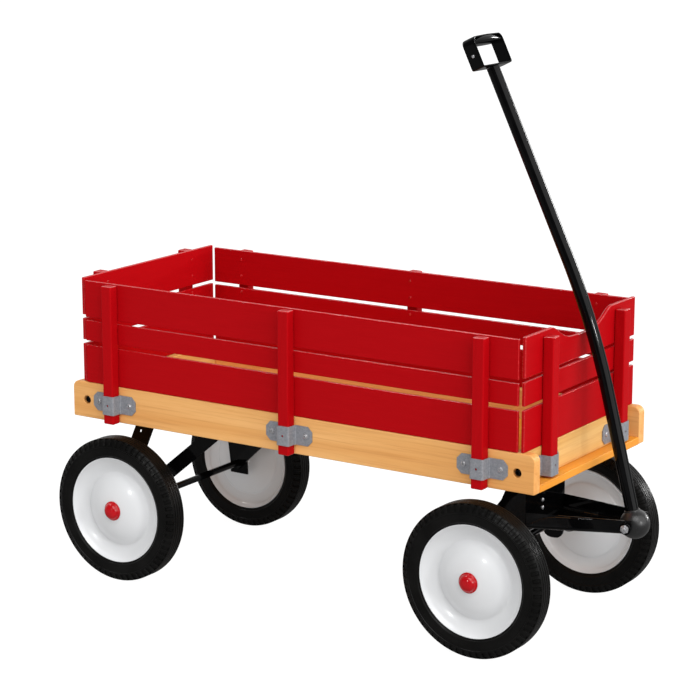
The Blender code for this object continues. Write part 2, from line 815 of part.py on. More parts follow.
def make_handle(handle):
    """The ball, the bent steel tube and the loop grip; all swing about the ball's pin."""
    mesh = bpy.data.meshes.new("handle_ball")
    work = bmesh.new()
    bmesh.ops.create_uvsphere(work, u_segments=24, v_segments=14, radius=BALL_RADIUS)
    work.to_mesh(mesh)
    work.free()
    smooth(mesh)
    ball = add_part("handle_ball", mesh, BALL_PLASTIC, handle)
    bore = rod_mesh("ball_bore", PIN_RADIUS + GAP, 0.1, 16)
    boolean(ball, add_cutter("ball_bore", bore, handle, (0, 0, 0), (math.pi / 2, 0, 0)))
    socket_start = 11.0 * MM
    socket = rod_mesh("ball_socket", TUBE_RADIUS + 2 * GAP, 40.0 * MM, 24)
    middle, lean = handle_point(socket_start + 20.0 * MM)
    boolean(ball, add_cutter("ball_socket", socket, handle, middle, (0, -lean, 0)))

    reach = TUBE_LENGTH - socket_start - GAP
    stations = [0.0, 0.27, 0.33, 0.38, 0.43, 0.48, 0.53, 0.58, 1.0]
    curve = bpy.data.curves.new("handle_tube", "CURVE")
    curve.dimensions = "3D"
    curve.bevel_depth = TUBE_RADIUS
    curve.bevel_resolution = 5
    curve.use_fill_caps = False
    spline = curve.splines.new("POLY")
    spline.points.add(len(stations) - 1)
    for point, share in zip(spline.points, stations):
        spot, _ = handle_point(socket_start + GAP + reach * share)
        point.co = (*spot, 1)
    tube_mesh = curve_to_mesh("handle_tube", curve)
    smooth(tube_mesh)
    tube = add_part("handle_tube", tube_mesh, BLACK_STEEL, handle)
    thicken(tube, TUBE_WALL, -1.0)
    make_grip(handle)


def grip_outlines():
    """The loop seen square on: straight sides, round shoulders and a thicker crowned bar."""
    half = GRIP_HALF_WIDTH
    shoulder = GRIP_SIDE - GRIP_CORNER / 2
    outer = [(-half, 0.0), (half, 0.0), (half, shoulder)]
    inner_half, inner_top = half - GRIP_STRAP, GRIP_CROWN - GRIP_BAR
    for index in range(13):
        angle = math.pi * index / 12
        shape = abs(math.cos(angle)) ** 0.55 * (1 if angle < math.pi / 2 else -1)
        rise = math.sin(angle) ** 0.6
        outer.append((half * shape, shoulder + (GRIP_CROWN - shoulder) * rise))
    outer.append((-half, shoulder))
    inner = [(-inner_half, GRIP_STRAP), (-inner_half, inner_top - 10.0 * MM)]
    inner += [(-inner_half + 10.0 * MM, inner_top - 2.0 * MM), (0.0, inner_top)]
    inner += [(inner_half - 10.0 * MM, inner_top - 2.0 * MM), (inner_half, inner_top - 10.0 * MM)]
    inner.append((inner_half, GRIP_STRAP))
    distinct = [outer[0]]
    for point in outer[1:]:
        if math.dist(point, distinct[-1]) > 0.2 * MM:
            distinct.append(point)
    return [distinct, inner]


def make_grip(handle):
    """The loop grip on the tube's upper end."""
    spot, lean = handle_point(TUBE_LENGTH + 2 * GAP)
    mesh = outline_mesh("handle_grip", grip_outlines(), GRIP_DEPTH)
    turn = (
        Matrix.Rotation(-lean, 3, "Y")
        @ Matrix.Rotation(math.pi / 2, 3, "Z")
        @ Matrix.Rotation(math.pi / 2, 3, "X")
    )
    add_part("handle_grip", mesh, BLACK_STEEL, handle, spot, turn.to_euler())


# ---------------------------------------------------------------- wheels


def tyre_profile():
    """The tyre's section, open towards the rim, with a flat tread and round shoulders."""
    grow = 1 / math.cos(math.pi / TYRE_STEPS)
    half = TYRE_WIDTH / 2
    tread = WHEEL_RADIUS * grow
    bead = 94.0 * MM
    wall = 5.0 * MM
    return [
        (tread, 13.0 * MM),
        (tread, -13.0 * MM),
        ((WHEEL_RADIUS - 6.0 * MM) * grow, -half + 2.0 * MM),
        (108.0 * MM, -half),
        (bead, -half + 3.5 * MM),
        (bead, -half + 3.5 * MM + wall),
        (WHEEL_RADIUS - 10.0 * MM, -half + 8.0 * MM),
        (WHEEL_RADIUS - 10.0 * MM, half - 8.0 * MM),
        (bead, half - 3.5 * MM - wall),
        (bead, half - 3.5 * MM),
        (108.0 * MM, half),
        ((WHEEL_RADIUS - 6.0 * MM) * grow, half - 2.0 * MM),
    ]


def disc_profile():
    """The pressed steel wheel: a domed web, a rim and an inner web with a hub sleeve."""
    lip = 17.5 * MM
    rim = 93.0 * MM
    return [
        (BORE_RADIUS, 22.0 * MM),
        (20.0 * MM, 21.4 * MM),
        (45.0 * MM, 15.6 * MM),
        (66.0 * MM, 4.2 * MM),
        (78.0 * MM, 6.5 * MM),
        (rim, lip),
        (89.5 * MM, 12.0 * MM),
        (89.5 * MM, -12.0 * MM),
        (rim - 1.0 * MM, -lip),
        (78.0 * MM, -7.5 * MM),
        (66.0 * MM, -5.2 * MM),
        (45.0 * MM, -14.0 * MM),
        (13.0 * MM, -19.0 * MM),
        (13.0 * MM, -27.5 * MM),
        (BORE_RADIUS, -27.5 * MM),
        (BORE_RADIUS, -17.0 * MM),
        (45.0 * MM, -12.0 * MM),
        (66.0 * MM, -3.0 * MM),
        (87.0 * MM, -9.0 * MM),
        (87.0 * MM, 8.5 * MM),
        (66.0 * MM, 2.0 * MM),
        (45.0 * MM, 13.4 * MM),
        (BORE_RADIUS, 19.6 * MM),
    ]


def cap_profile():
    """A domed push-on hub cap."""
    base = 22.0 * MM + GAP
    height = 11.5 * MM
    profile = []
    for index in range(6):
        angle = math.pi / 2 * (1 - index / 5)
        profile.append((HUB_CAP_RADIUS * math.cos(angle), base + height * math.sin(angle)))
    profile[0] = (0.0, base + height)
    profile.append((0.0, base))
    return profile


def make_wheel(name, holder, sign):
    """A tyre, a disc and a hub cap that turn together about the axle."""
    turn = (-sign * math.pi / 2, 0, 0)
    half_step = math.pi / TYRE_STEPS
    middle = (0, 0, 0)
    tyre, disc, cap = tyre_profile(), disc_profile(), cap_profile()
    turned("tyre_" + name, tyre, TYRE_STEPS, TYRE_RUBBER, holder, middle, turn, phase=half_step)
    turned("wheel_disc_" + name, disc, DISC_STEPS, WHITE_STEEL, holder, middle, turn)
    turned("hub_cap_" + name, cap, 20, RED_CAP, holder, middle, turn, closed=False)


def make_wheels(bed, truck):
    """Two wheels on the truck's axle and two on the rear axle."""
    for end, parent, x in (("front", truck, 0.0), ("rear", bed, REAR_X)):
        for side, sign in sides():
            name = end + "_" + side
            spot = (x, sign * WHEEL_CENTRE_Y, WHEEL_RADIUS)
            make_wheel(name, empty("wheel_" + name + "_spin", parent, spot), sign)


def main():
    clear_scene()
    make_collections()
    bed = empty("bed", None, (BED_CENTRE_X, 0, 0))
    truck = empty("truck_steer", bed, (FRONT_X, 0, 0))
    handle = empty("handle_swing", truck, (BALL_X - FRONT_X, 0, BALL_Z))
    make_rails(bed)
    make_floor(bed)
    make_cross_boards(bed)
    make_stake_straps(bed)
    make_side_panels(bed)
    make_end_panels(bed)
    make_rear_axle(bed)
    make_truck(bed, truck)
    make_tongue(truck)
    make_handle(handle)
    make_wheels(bed, truck)


main()
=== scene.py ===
"""The looks of a kids pull wagon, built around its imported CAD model.

Everything is in metres in the model's own frame: +X towards the pull handle, +Y to the
wagon's left, +Z up, with the origin on the ground. Sizes come from the CAD nodes' boxes.
"""

import math
from collections import namedtuple

import bmesh
import bpy
from mathutils import Matrix, Vector


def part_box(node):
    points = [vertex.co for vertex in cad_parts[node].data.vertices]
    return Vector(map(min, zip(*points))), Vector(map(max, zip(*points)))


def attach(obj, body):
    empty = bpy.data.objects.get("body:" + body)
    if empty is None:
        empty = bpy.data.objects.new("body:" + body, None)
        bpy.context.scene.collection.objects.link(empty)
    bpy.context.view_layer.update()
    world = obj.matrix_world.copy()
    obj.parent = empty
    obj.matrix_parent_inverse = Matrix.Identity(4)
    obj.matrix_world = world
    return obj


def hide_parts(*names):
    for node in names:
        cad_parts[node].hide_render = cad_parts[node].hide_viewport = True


MM = 0.001
SIDES = (("left", 1.0), ("right", -1.0))
ENDS = (("front", 1.0), ("rear", -1.0))

SIDE_STAKES = ("front", "middle", "rear")
END_STAKES = ("left", "right")

# A wall of the box: its board in the bed, and the axis and sign that point out of the box.
Wall = namedtuple("Wall", "name body board axis sign stakes")
WALLS = [Wall(side, "side_panel_" + side, "rail_" + side, 1, sign, SIDE_STAKES) for side, sign in SIDES]
WALLS += [Wall(end, "end_panel_" + end, "cross_board_" + end, 0, sign, END_STAKES) for end, sign in ENDS]

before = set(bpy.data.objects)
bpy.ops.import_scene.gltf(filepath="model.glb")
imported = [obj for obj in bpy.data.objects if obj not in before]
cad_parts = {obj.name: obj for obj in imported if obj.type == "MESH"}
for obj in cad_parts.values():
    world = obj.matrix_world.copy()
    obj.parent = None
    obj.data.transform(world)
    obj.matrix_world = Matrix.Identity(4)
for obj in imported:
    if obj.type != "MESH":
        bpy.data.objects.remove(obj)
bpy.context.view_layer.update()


# ---- node helpers


class Nodes:
    """A short way to write the node tree of a material or of the world."""

    def __init__(self, name, world=False):
        """A new material or world, with its shader and its coordinates."""
        self.owner = (bpy.data.worlds if world else bpy.data.materials).new(name)
        self.owner.use_nodes = True
        self.tree = self.owner.node_tree
        self.shader = self.tree.nodes["Background" if world else "Principled BSDF"]
        self.coordinates = self.add("ShaderNodeTexCoord").outputs["Generated" if world else "Object"]

    def feed(self, socket, value):
        """Link a socket to an output, or set its value."""
        if isinstance(value, bpy.types.NodeSocket):
            self.tree.links.new(value, socket)
        else:
            socket.default_value = value

    def add(self, kind, sockets=None, **settings):
        """A node with its settings, and with the values or the links of its sockets."""
        node = self.tree.nodes.new(kind)
        for key, value in settings.items():
            setattr(node, key, value)
        for key, value in (sockets or {}).items():
            self.feed(node.inputs[key], value)
        return node

    def scaled(self, axis, lengthways, across):
        """The coordinates, scaled one way along an axis and another way across it."""
        scale = [lengthways if name == axis else across for name in "XYZ"]
        sockets = {"Vector": self.coordinates, "Scale": scale}
        return self.add("ShaderNodeMapping", sockets).outputs["Vector"]

    def noise(self, scale, detail=4.0, roughness=0.55, distortion=0.0, over=None):
        """Noise over a vector, or over the plain coordinates, as a value."""
        sockets = {"Vector": over or self.coordinates, "Scale": scale, "Detail": detail}
        sockets.update({"Roughness": roughness, "Distortion": distortion})
        return self.add("ShaderNodeTexNoise", sockets).outputs["Fac"]

    def ramp(self, value, stops):
        """A colour ramp between two stops, each a position and a colour."""
        node = self.add("ShaderNodeValToRGB", {"Fac": value})
        for element, (position, colour) in zip(node.color_ramp.elements, stops):
            element.position = position
            element.color = (*colour, 1.0)
        return node.outputs["Color"]

    def remap(self, value, low, high, start, end):
        """A value from one range to another, whose ends can be sockets."""
        sockets = {"Value": value, "From Min": low, "From Max": high, "To Min": start, "To Max": end}
        return self.add("ShaderNodeMapRange", sockets).outputs["Result"]

    def mix(self, tone, colour, share):
        """A tone mixed with a colour."""
        node = self.add("ShaderNodeMix", data_type="RGBA")
        for place, value in ((0, share), (6, tone), (7, (*colour, 1.0))):
            self.feed(node.inputs[place], value)
        return node.outputs[2]

    def bump(self, height, distance, strength):
        """A bump for the shader's normal."""
        node = self.add("ShaderNodeBump", {"Height": height, "Distance": distance, "Strength": strength})
        self.set(Normal=node.outputs["Normal"])

    def by_ray(self, lit, mirrored, seen):
        """A brightness as a light, as glossy parts mirror it and as it is seen."""
        rays = self.add("ShaderNodeLightPath").outputs
        lit = self.remap(rays["Is Glossy Ray"], 0.0, 1.0, lit, mirrored)
        return self.remap(rays["Is Camera Ray"], 0.0, 1.0, lit, seen)

    def set(self, **values):
        """Shader sockets by name, with _ for a space."""
        for key, value in values.items():
            self.feed(self.shader.inputs[key.replace("_", " ")], value)


# ---- materials


def mottled(name, clouds, tones, rough, grain=None, depth=0.0, strength=0.0, **sockets):
    """A finish whose tone and roughness vary in soft clouds, with its grain, or the clouds, as a bump.

    The clouds and the grain are noises: scale, detail, roughness.
    """
    nodes = Nodes(name)
    cloud = nodes.noise(*clouds)
    gloss = nodes.remap(cloud, 0.3, 0.7, *rough)
    nodes.set(Base_Color=nodes.ramp(cloud, tones), Roughness=gloss, **sockets)
    if depth:
        nodes.bump(nodes.noise(*grain) if grain else cloud, depth, strength)
    return nodes.owner


def red_paint(name, along):
    """Gloss red paint that lets a little of the wood grain through; along is the grain's axis."""
    nodes = Nodes(name)
    fibres = nodes.noise(9.0, detail=5.0, roughness=0.6, over=nodes.scaled(along, 1.6, 46.0))
    clouds = nodes.noise(9.0, detail=2.0)
    tone = nodes.ramp(fibres, [(0.25, (0.345, 0.0016, 0.0036)), (0.75, (0.425, 0.0026, 0.0052))])
    tone = nodes.mix(tone, (0.39, 0.0020, 0.0044), nodes.remap(clouds, 0.3, 0.7, 0.3, 0.7))
    gloss = nodes.remap(fibres, 0.2, 0.8, 0.30, 0.44)
    nodes.set(Base_Color=tone, Roughness=gloss, Specular_IOR_Level=0.03)
    nodes.bump(fibres, 0.12 * MM, 0.6)
    return nodes.owner


def red_polish_and_highlight():
    """The red paint where a rounded edge is polished by handling, so it mirrors the studio, with tones
    lighter than the body paint that are a painted highlight along the edge.
    """
    tones = [(0.35, (0.40, 0.0026, 0.0052)), (0.70, (0.50, 0.0060, 0.0090))]
    gloss = dict(Specular_IOR_Level=0.6, Coat_Weight=0.6, Coat_Roughness=0.08)
    return mottled("red_paint_edge", (140.0, 4.0, 0.65), tones, (0.16, 0.34), **gloss)


def varnished_wood(name, along, light, dark, streak):
    """Clear-varnished softwood: broad bands, fine streaks and short pores along the grain."""
    nodes = Nodes(name)
    bands = nodes.noise(1.0, detail=3.0, distortion=0.6, over=nodes.scaled(along, 1.3, 34.0))
    streaks = nodes.noise(1.0, detail=4.0, roughness=0.65, over=nodes.scaled(along, 4.0, 210.0))
    pores = nodes.noise(1.0, detail=2.0, over=nodes.scaled(along, 24.0, 900.0))
    tone = nodes.ramp(bands, [(0.30, dark), (0.72, light)])
    tone = nodes.mix(tone, streak, nodes.remap(streaks, 0.50, 0.78, 0.0, 0.70))
    tone = nodes.mix(tone, dark, nodes.remap(pores, 0.56, 0.80, 0.0, 0.60))
    gloss = nodes.remap(streaks, 0.2, 0.8, 0.36, 0.52)
    nodes.set(Base_Color=tone, Roughness=gloss, Specular_IOR_Level=0.2)
    both = nodes.add("ShaderNodeMath", {0: streaks, 1: pores}, operation="ADD")
    nodes.bump(both.outputs[0], 0.10 * MM, 0.5)
    return nodes.owner


def galvanised():
    """Dull zinc with a faint spangle."""
    nodes = Nodes("galvanised_steel")
    cells = nodes.add("ShaderNodeTexVoronoi", {"Vector": nodes.coordinates, "Scale": 420.0}, feature="F1")
    spangle = nodes.remap(cells.outputs["Color"], 0.0, 1.0, 0.0, 1.0)
    cloud = nodes.noise(120.0, detail=4.0)
    tone = nodes.ramp(spangle, [(0.0, (0.22, 0.225, 0.245)), (1.0, (0.31, 0.315, 0.34))])
    tone = nodes.mix(tone, (0.17, 0.175, 0.20), nodes.remap(cloud, 0.45, 0.8, 0.0, 0.5))
    nodes.set(Base_Color=tone, Roughness=nodes.remap(cloud, 0.3, 0.7, 0.38, 0.50), Metallic=0.25)
    nodes.bump(cloud, 0.05 * MM, 0.5)
    return nodes.owner


def black_enamel():
    """Gloss black enamel with a faint orange peel."""
    tones = [(0.3, (0.0010, 0.0010, 0.0012)), (0.8, (0.0030, 0.0030, 0.0032))]
    peel = dict(grain=(260.0, 2.0), depth=0.006 * MM, strength=0.2)
    return mottled("black_enamel", (30.0, 5.0), tones, (0.04, 0.08), Specular_IOR_Level=0.18, **peel)


def crease_highlight_enamel():
    """The black enamel where the fold is polished by handling, smoother and more mirror-like, with tones
    lighter than the enamel that are a painted highlight along the fold.
    """
    tones = [(0.34, (0.004, 0.004, 0.004)), (0.66, (0.012, 0.012, 0.012))]
    gloss = dict(Specular_IOR_Level=1.0, Coat_Weight=1.0, Coat_Roughness=0.05)
    return mottled("black_enamel_rubbed", (90.0, 4.0, 0.6), tones, (0.10, 0.22), **gloss)


def white_enamel():
    """Stoved white enamel on pressed steel."""
    tones = [(0.3, (0.640, 0.647, 0.657)), (0.7, (0.665, 0.671, 0.681))]
    peel = dict(grain=(220.0, 2.0), depth=0.01 * MM, strength=0.1)
    gloss = dict(Coat_Weight=0.25, Coat_Roughness=0.07)
    return mottled("white_enamel", (14.0, 3.0), tones, (0.24, 0.27), **peel, **gloss)


def tyre_rubber():
    """Moulded black rubber, slightly dusty, with a roughness that follows its fine grain."""
    nodes = Nodes("tyre_rubber")
    grain = nodes.noise(900.0, detail=3.0)
    cloud = nodes.noise(26.0, detail=4.0)
    tone = nodes.ramp(cloud, [(0.3, (0.0026, 0.0025, 0.0023)), (0.75, (0.0064, 0.0061, 0.0058))])
    gloss = nodes.remap(grain, 0.3, 0.7, 0.26, 0.38)
    nodes.set(Base_Color=tone, Roughness=gloss, Specular_IOR_Level=0.14)
    nodes.bump(grain, 0.05 * MM, 0.5)
    return nodes.owner


def gloss_red_plastic():
    """The hub caps' gloss red."""
    tones = [(0.3, (0.36, 0.002, 0.005)), (0.7, (0.44, 0.003, 0.007))]
    return mottled("hub_cap_red", (60.0, 2.0), tones, (0.10, 0.16), Specular_IOR_Level=0.45)


def ball_plastic():
    """The handle ball's semi-gloss black."""
    tones = [(0.3, (0.011, 0.011, 0.0112)), (0.7, (0.017, 0.0168, 0.0168))]
    pits = dict(grain=(700.0, 2.0), depth=0.02 * MM, strength=0.4)
    return mottled("ball_plastic", (50.0, 3.0), tones, (0.26, 0.34), **pits)


def bright_steel():
    """Plated screws, nuts and rods."""
    tones = [(0.3, (0.50, 0.50, 0.52)), (0.7, (0.66, 0.66, 0.68))]
    marks = dict(depth=0.02 * MM, strength=0.4)
    return mottled("bright_steel", (600.0, 3.0), tones, (0.22, 0.36), Metallic=0.7, **marks)


RED = {axis: red_paint("red_paint_" + axis, axis) for axis in "XYZ"}
RED_POLISH_AND_HIGHLIGHT = red_polish_and_highlight()
PALE, AMBER, BROWN = (0.80, 0.43, 0.155), (0.68, 0.31, 0.085), (0.50, 0.19, 0.045)
RAIL_WOOD = varnished_wood("rail_wood", "X", PALE, AMBER, BROWN)
CROSS_WOOD = varnished_wood("cross_board_wood", "Y", (0.76, 0.49, 0.19), (0.65, 0.35, 0.10), BROWN)
FLOOR_WOOD = varnished_wood("floor_wood", "Y", (0.78, 0.32, 0.034), (0.68, 0.23, 0.018), BROWN)
ZINC = galvanised()
BLACK = black_enamel()
CREASE_HIGHLIGHT_ENAMEL = crease_highlight_enamel()
WHITE = white_enamel()
RUBBER = tyre_rubber()
CAP_RED = gloss_red_plastic()
BALL_BLACK = ball_plastic()
STEEL = bright_steel()


# ---- mesh helpers


def new_object(name, data, finish=None):
    """A mesh, lens or light in the scene; a finish becomes a mesh's only material."""
    made = bpy.data.objects.new(name, data)
    bpy.context.scene.collection.objects.link(made)
    if finish is not None:
        data.materials.clear()
        data.materials.append(finish)
    return made


def mesh_from(name, work, angle=30):
    """A bmesh as a mesh, smooth but for its sharp creases."""
    mesh = bpy.data.meshes.new(name)
    bmesh.ops.recalc_face_normals(work, faces=work.faces)
    work.to_mesh(mesh)
    work.free()
    mesh.shade_smooth()
    mesh.set_sharp_from_angle(angle=math.radians(angle))
    return mesh


def even_shading(piece):
    """Keep a piece's large flat faces flat next to its rounded edges."""
    flat = piece.modifiers.new("flat_faces", "WEIGHTED_NORMAL")
    flat.keep_sharp = True
    flat.weight = 90
    return piece


def add_bevel(piece, width, segments=2, angle=30):
    """Round a piece's sharp edges."""
    step = piece.modifiers.new("edges", "BEVEL")
    step.width = width
    step.segments = segments
    step.limit_method = "ANGLE"
    step.angle_limit = math.radians(angle)
    return step


def cut(piece, cutter_mesh, place=None):
    """Cut a mesh out of a piece with a Boolean."""
    cutter = new_object(piece.name + "_cutter", cutter_mesh)
    cutter.matrix_world = place or Matrix.Identity(4)
    step = piece.modifiers.new("cut", "BOOLEAN")
    step.object = cutter
    step.solver = "EXACT"


def baked(piece, angle=30):
    """A piece's final mesh; the piece and its cutters are removed."""
    bpy.context.view_layer.update()
    shape = piece.evaluated_get(bpy.context.evaluated_depsgraph_get())
    mesh = bpy.data.meshes.new_from_object(shape)
    mesh.name = piece.name
    for step in piece.modifiers:
        if step.type == "BOOLEAN" and step.object:
            bpy.data.objects.remove(step.object, do_unlink=True)
    bpy.data.objects.remove(piece, do_unlink=True)
    mesh.shade_smooth()
    mesh.set_sharp_from_angle(angle=math.radians(angle))
    return mesh


def box_work(low, high):
    """A box between two corners, as a bmesh."""
    low, high = Vector(low), Vector(high)
    work = bmesh.new()
    bmesh.ops.create_cube(work, size=1.0)
    bmesh.ops.scale(work, vec=high - low, verts=work.verts)
    bmesh.ops.translate(work, vec=(low + high) / 2, verts=work.verts)
    return work


def rounded_box(name, low, high, radius, finish, edge_highlight_finish=None, end_axis=2):
    """A board with rounded edges between two corners.

    Its upper edges, and the edges at the ends of an axis, can have their own finish, which carries a
    painted highlight along them.
    """
    work = box_work(low, high)
    bmesh.ops.bevel(work, geom=work.edges[:], offset=radius, segments=3, profile=0.5, affect="EDGES")
    board = new_object(name, mesh_from(name, work, 40), finish)
    if edge_highlight_finish is not None:
        board.data.materials.append(edge_highlight_finish)
        # Upward and end bevels take the edge finish: its lighter tone is a painted highlight along the
        # edges.
        for face in board.data.polygons:
            if any(0.4 < part < 0.99 for part in (face.normal.z, abs(face.normal[end_axis]))):
                face.material_index = 1
    return even_shading(board)


def grid_mesh(name, rows, close_rows=False, close_columns=False, angle=30):
    """Quads between rows of points; a row shorter than a hair is welded to a point."""
    work = bmesh.new()
    corners = [[work.verts.new(point) for point in row] for row in rows]
    row_pairs = list(zip(corners, corners[1:]))
    if close_rows:
        row_pairs.append((corners[-1], corners[0]))
    for first, second in row_pairs:
        count = len(first)
        for index in range(count if close_columns else count - 1):
            after = (index + 1) % count
            work.faces.new((first[index], first[after], second[after], second[index]))
    bmesh.ops.remove_doubles(work, verts=work.verts, dist=1e-7)
    return mesh_from(name, work, angle)


def circle(steps):
    """Points round a circle of radius one."""
    turns = [2 * math.pi * index / steps for index in range(steps)]
    return [(math.cos(turn), math.sin(turn)) for turn in turns]


def lathe_mesh(name, profile, steps, closed=False, angle=30):
    """A profile of (radius, height) turned about local Z."""
    rows = [[(radius * x, radius * y, height) for x, y in circle(steps)] for radius, height in profile]
    return grid_mesh(name, rows, close_rows=closed, close_columns=True, angle=angle)


def plug_mesh(name, radius, low, high, steps):
    """A plain cylinder about local Z, from one height to another."""
    return lathe_mesh(name, [(0, low), (radius, low), (radius, high), (0, high)], steps)


def in_mm(points):
    """Points given in millimetres."""
    return [Vector((first * MM, second * MM)) for first, second in points]


def arc(centre, radius, start, end, count):
    """Points on an arc, angles in degrees, both ends included."""
    turns = [math.radians(start + (end - start) * index / count) for index in range(count + 1)]
    return [(centre[0] + radius * math.cos(turn), centre[1] + radius * math.sin(turn)) for turn in turns]


def filleted(points, radius, count=4):
    """An open path whose inner corners are rounded to a radius."""
    path = [Vector(points[0])]
    for before, corner, after in zip(points, points[1:], points[2:]):
        corner = Vector(corner)
        back, ahead = Vector(before) - corner, Vector(after) - corner
        reach = min(radius, back.length / 2.05, ahead.length / 2.05)
        first, last = corner + back.normalized() * reach, corner + ahead.normalized() * reach
        for index in range(count + 1):
            share = index / count
            path.append(first * (1 - share) ** 2 + corner * 2 * share * (1 - share) + last * share**2)
    path.append(Vector(points[-1]))
    return path


def placed(mesh, place):
    """A copy of a mesh at a place."""
    copy = mesh.copy()
    copy.transform(place)
    return copy


def at(spot, direction=(0, 0, 1), spin=0.0):
    """A place with local +Z along a direction, after a turn about it."""
    turn = Vector(direction).to_track_quat("Z", "Y").to_matrix().to_4x4()
    return Matrix.Translation(Vector(spot)) @ turn @ Matrix.Rotation(spin, 4, "Z")


def tube_mesh(name, points, radius, sides):
    """A round tube along a smooth run of points, with closed ends."""
    rows = []
    for index, point in enumerate(points):
        before, after = points[max(index - 1, 0)], points[min(index + 1, len(points) - 1)]
        along = (after - before).normalized()
        across = along.cross(Vector((0, 1, 0)))
        if across.length < 0.1:
            across = along.cross(Vector((1, 0, 0)))
        across.normalize()
        other = along.cross(across)
        rows.append([point + (across * x + other * y) * radius for x, y in circle(sides)])
    rows.insert(0, [points[0]] * sides)
    rows.append([points[-1]] * sides)
    return grid_mesh(name, rows, close_columns=True, angle=40)


def prism_mesh(name, outline, low, high, axes="XZY"):
    """An outline in the first two axes, filled and drawn out from low to high along the third."""
    work = bmesh.new()
    order = [axes.index(axis) for axis in "XYZ"]
    faces = []
    for reach in (low, high):
        spots = [(across, up, reach) for across, up in outline]
        faces.append([work.verts.new([spot[place] for place in order]) for spot in spots])
    for index in range(len(outline)):
        after = (index + 1) % len(outline)
        work.faces.new((faces[0][index], faces[0][after], faces[1][after], faces[1][index]))
    for corners in faces:
        work.faces.new(corners)
    return mesh_from(name, work, 30)


def flowing(points, count):
    """A smooth run through points, Catmull-Rom, with count steps between neighbours."""
    ends = [2 * points[0] - points[1]] + points + [2 * points[-1] - points[-2]]
    run = []
    for a, b, c, d in zip(ends, ends[1:], ends[2:], ends[3:]):
        for index in range(count):
            t = index / count
            curve = 2 * b + (c - a) * t + (2 * a - 5 * b + 4 * c - d) * t**2
            run.append(0.5 * (curve + (3 * b - a - 3 * c + d) * t**3))
    run.append(points[-1])
    return run


def settle(piece, body, slot, *nodes):
    """Hide the CAD nodes that a piece stands for and hang the piece on the body it rides on; its slot is
    not used.
    """
    if nodes:
        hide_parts(*nodes)
    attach(piece, body)


def middle_of(node):
    """The middle of a CAD node's box."""
    low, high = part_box(node)
    return (low + high) / 2


def face_of(node, axis, sign):
    """Where a CAD node's box ends along an axis, on its positive or its negative side."""
    low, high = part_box(node)
    return high[axis] if sign > 0 else low[axis]


# ---- screws and bolts


def pan_screw_mesh(radius, height, recess=True):
    """A domed screw head with a cross recess, standing on local Z = 0."""
    profile = [(radius, 0.0), (radius, 0.35 * height), (0.93 * radius, 0.62 * height)]
    profile += [(0.72 * radius, 0.86 * height), (0.45 * radius, 0.97 * height), (0.0, height)]
    head = new_object("pan_screw", lathe_mesh("pan_screw", [(0.0, 0.0)] + profile, 24), STEEL)
    if recess:
        reach, half, floor = 0.55 * radius, 0.13 * radius, 0.35 * height
        for x, y in ((reach, half), (half, reach)):
            cut(head, mesh_from("slot", box_work((-x, -y, floor), (x, y, 2 * height))))
    return baked(head)


def socket_bolt_mesh(radius, height):
    """A button-head bolt with a six-sided socket, standing on local Z = 0."""
    profile = [(0.0, 0.0), (radius, 0.0), (radius, 0.25 * height), (0.9 * radius, 0.6 * height)]
    profile += [(0.7 * radius, 0.88 * height), (0.5 * radius, height), (0.0, height)]
    head = new_object("socket_bolt", lathe_mesh("socket_bolt", profile, 28), BLACK)
    cut(head, plug_mesh("socket", 0.45 * radius, 0.3 * height, 2 * height, 6))
    return baked(head)


def hex_nut_mesh(radius, height, bore):
    """A chamfered six-sided nut with a rounded bolt end through it, on local Z = 0."""
    nut = [(0.0, 0.0), (radius, 0.0), (radius, 0.85 * height), (0.86 * radius, height), (0.0, height)]
    bolt_end = [(bore, height), (bore, 1.35 * height), (0.7 * bore, 1.55 * height), (0, 1.55 * height)]
    work = bmesh.new()
    for profile, steps in ((nut, 6), (bolt_end, 20)):
        mesh = lathe_mesh("nut_part", profile, steps)
        work.from_mesh(mesh)
        bpy.data.meshes.remove(mesh)
    return mesh_from("hex_nut", work, 25)


def washer_mesh(outer, inner, thick):
    """A flat washer with broken edges, standing on local Z = 0."""
    edge = 0.25 * thick
    profile = [(inner, 0.0), (outer - edge, 0.0), (outer, edge), (outer, thick - edge)]
    profile += [(outer - edge, thick), (inner, thick)]
    return lathe_mesh("washer", profile, 32, closed=True)


def fasteners(name, mesh, places, finish, body, slot):
    """Copies of one fastener at several places, as one piece on one body."""
    work = bmesh.new()
    for place in places:
        copy = placed(mesh, place)
        work.from_mesh(copy)
        bpy.data.meshes.remove(copy)
    settle(new_object(name, mesh_from(name, work), finish), body, slot)


# ---- bed

RAIL_EDGE = 2.2 * MM
RAIL_CORNER = 12.0 * MM
FLOOR_EDGE = 1.4 * MM
CROSS_EDGE = 1.8 * MM
BOLT_SINK_RADIUS = 7.5 * MM
BOLT_SINK_DEPTH = 6.0 * MM
SINK_EDGE = 0.6 * MM
SINK_ABOVE = 0.2 * MM
BOLT_IN_SINK = BOLT_SINK_DEPTH - 0.05 * MM


def rail_bolt_spots(side, sign):
    """Where the middle of each bolt meets a rail's outer face."""
    node = "rail_" + side
    outside = face_of(node, 1, sign)
    return [Vector((middle_of("cross_board_" + end).x, outside, middle_of(node).z)) for end, _ in ENDS]


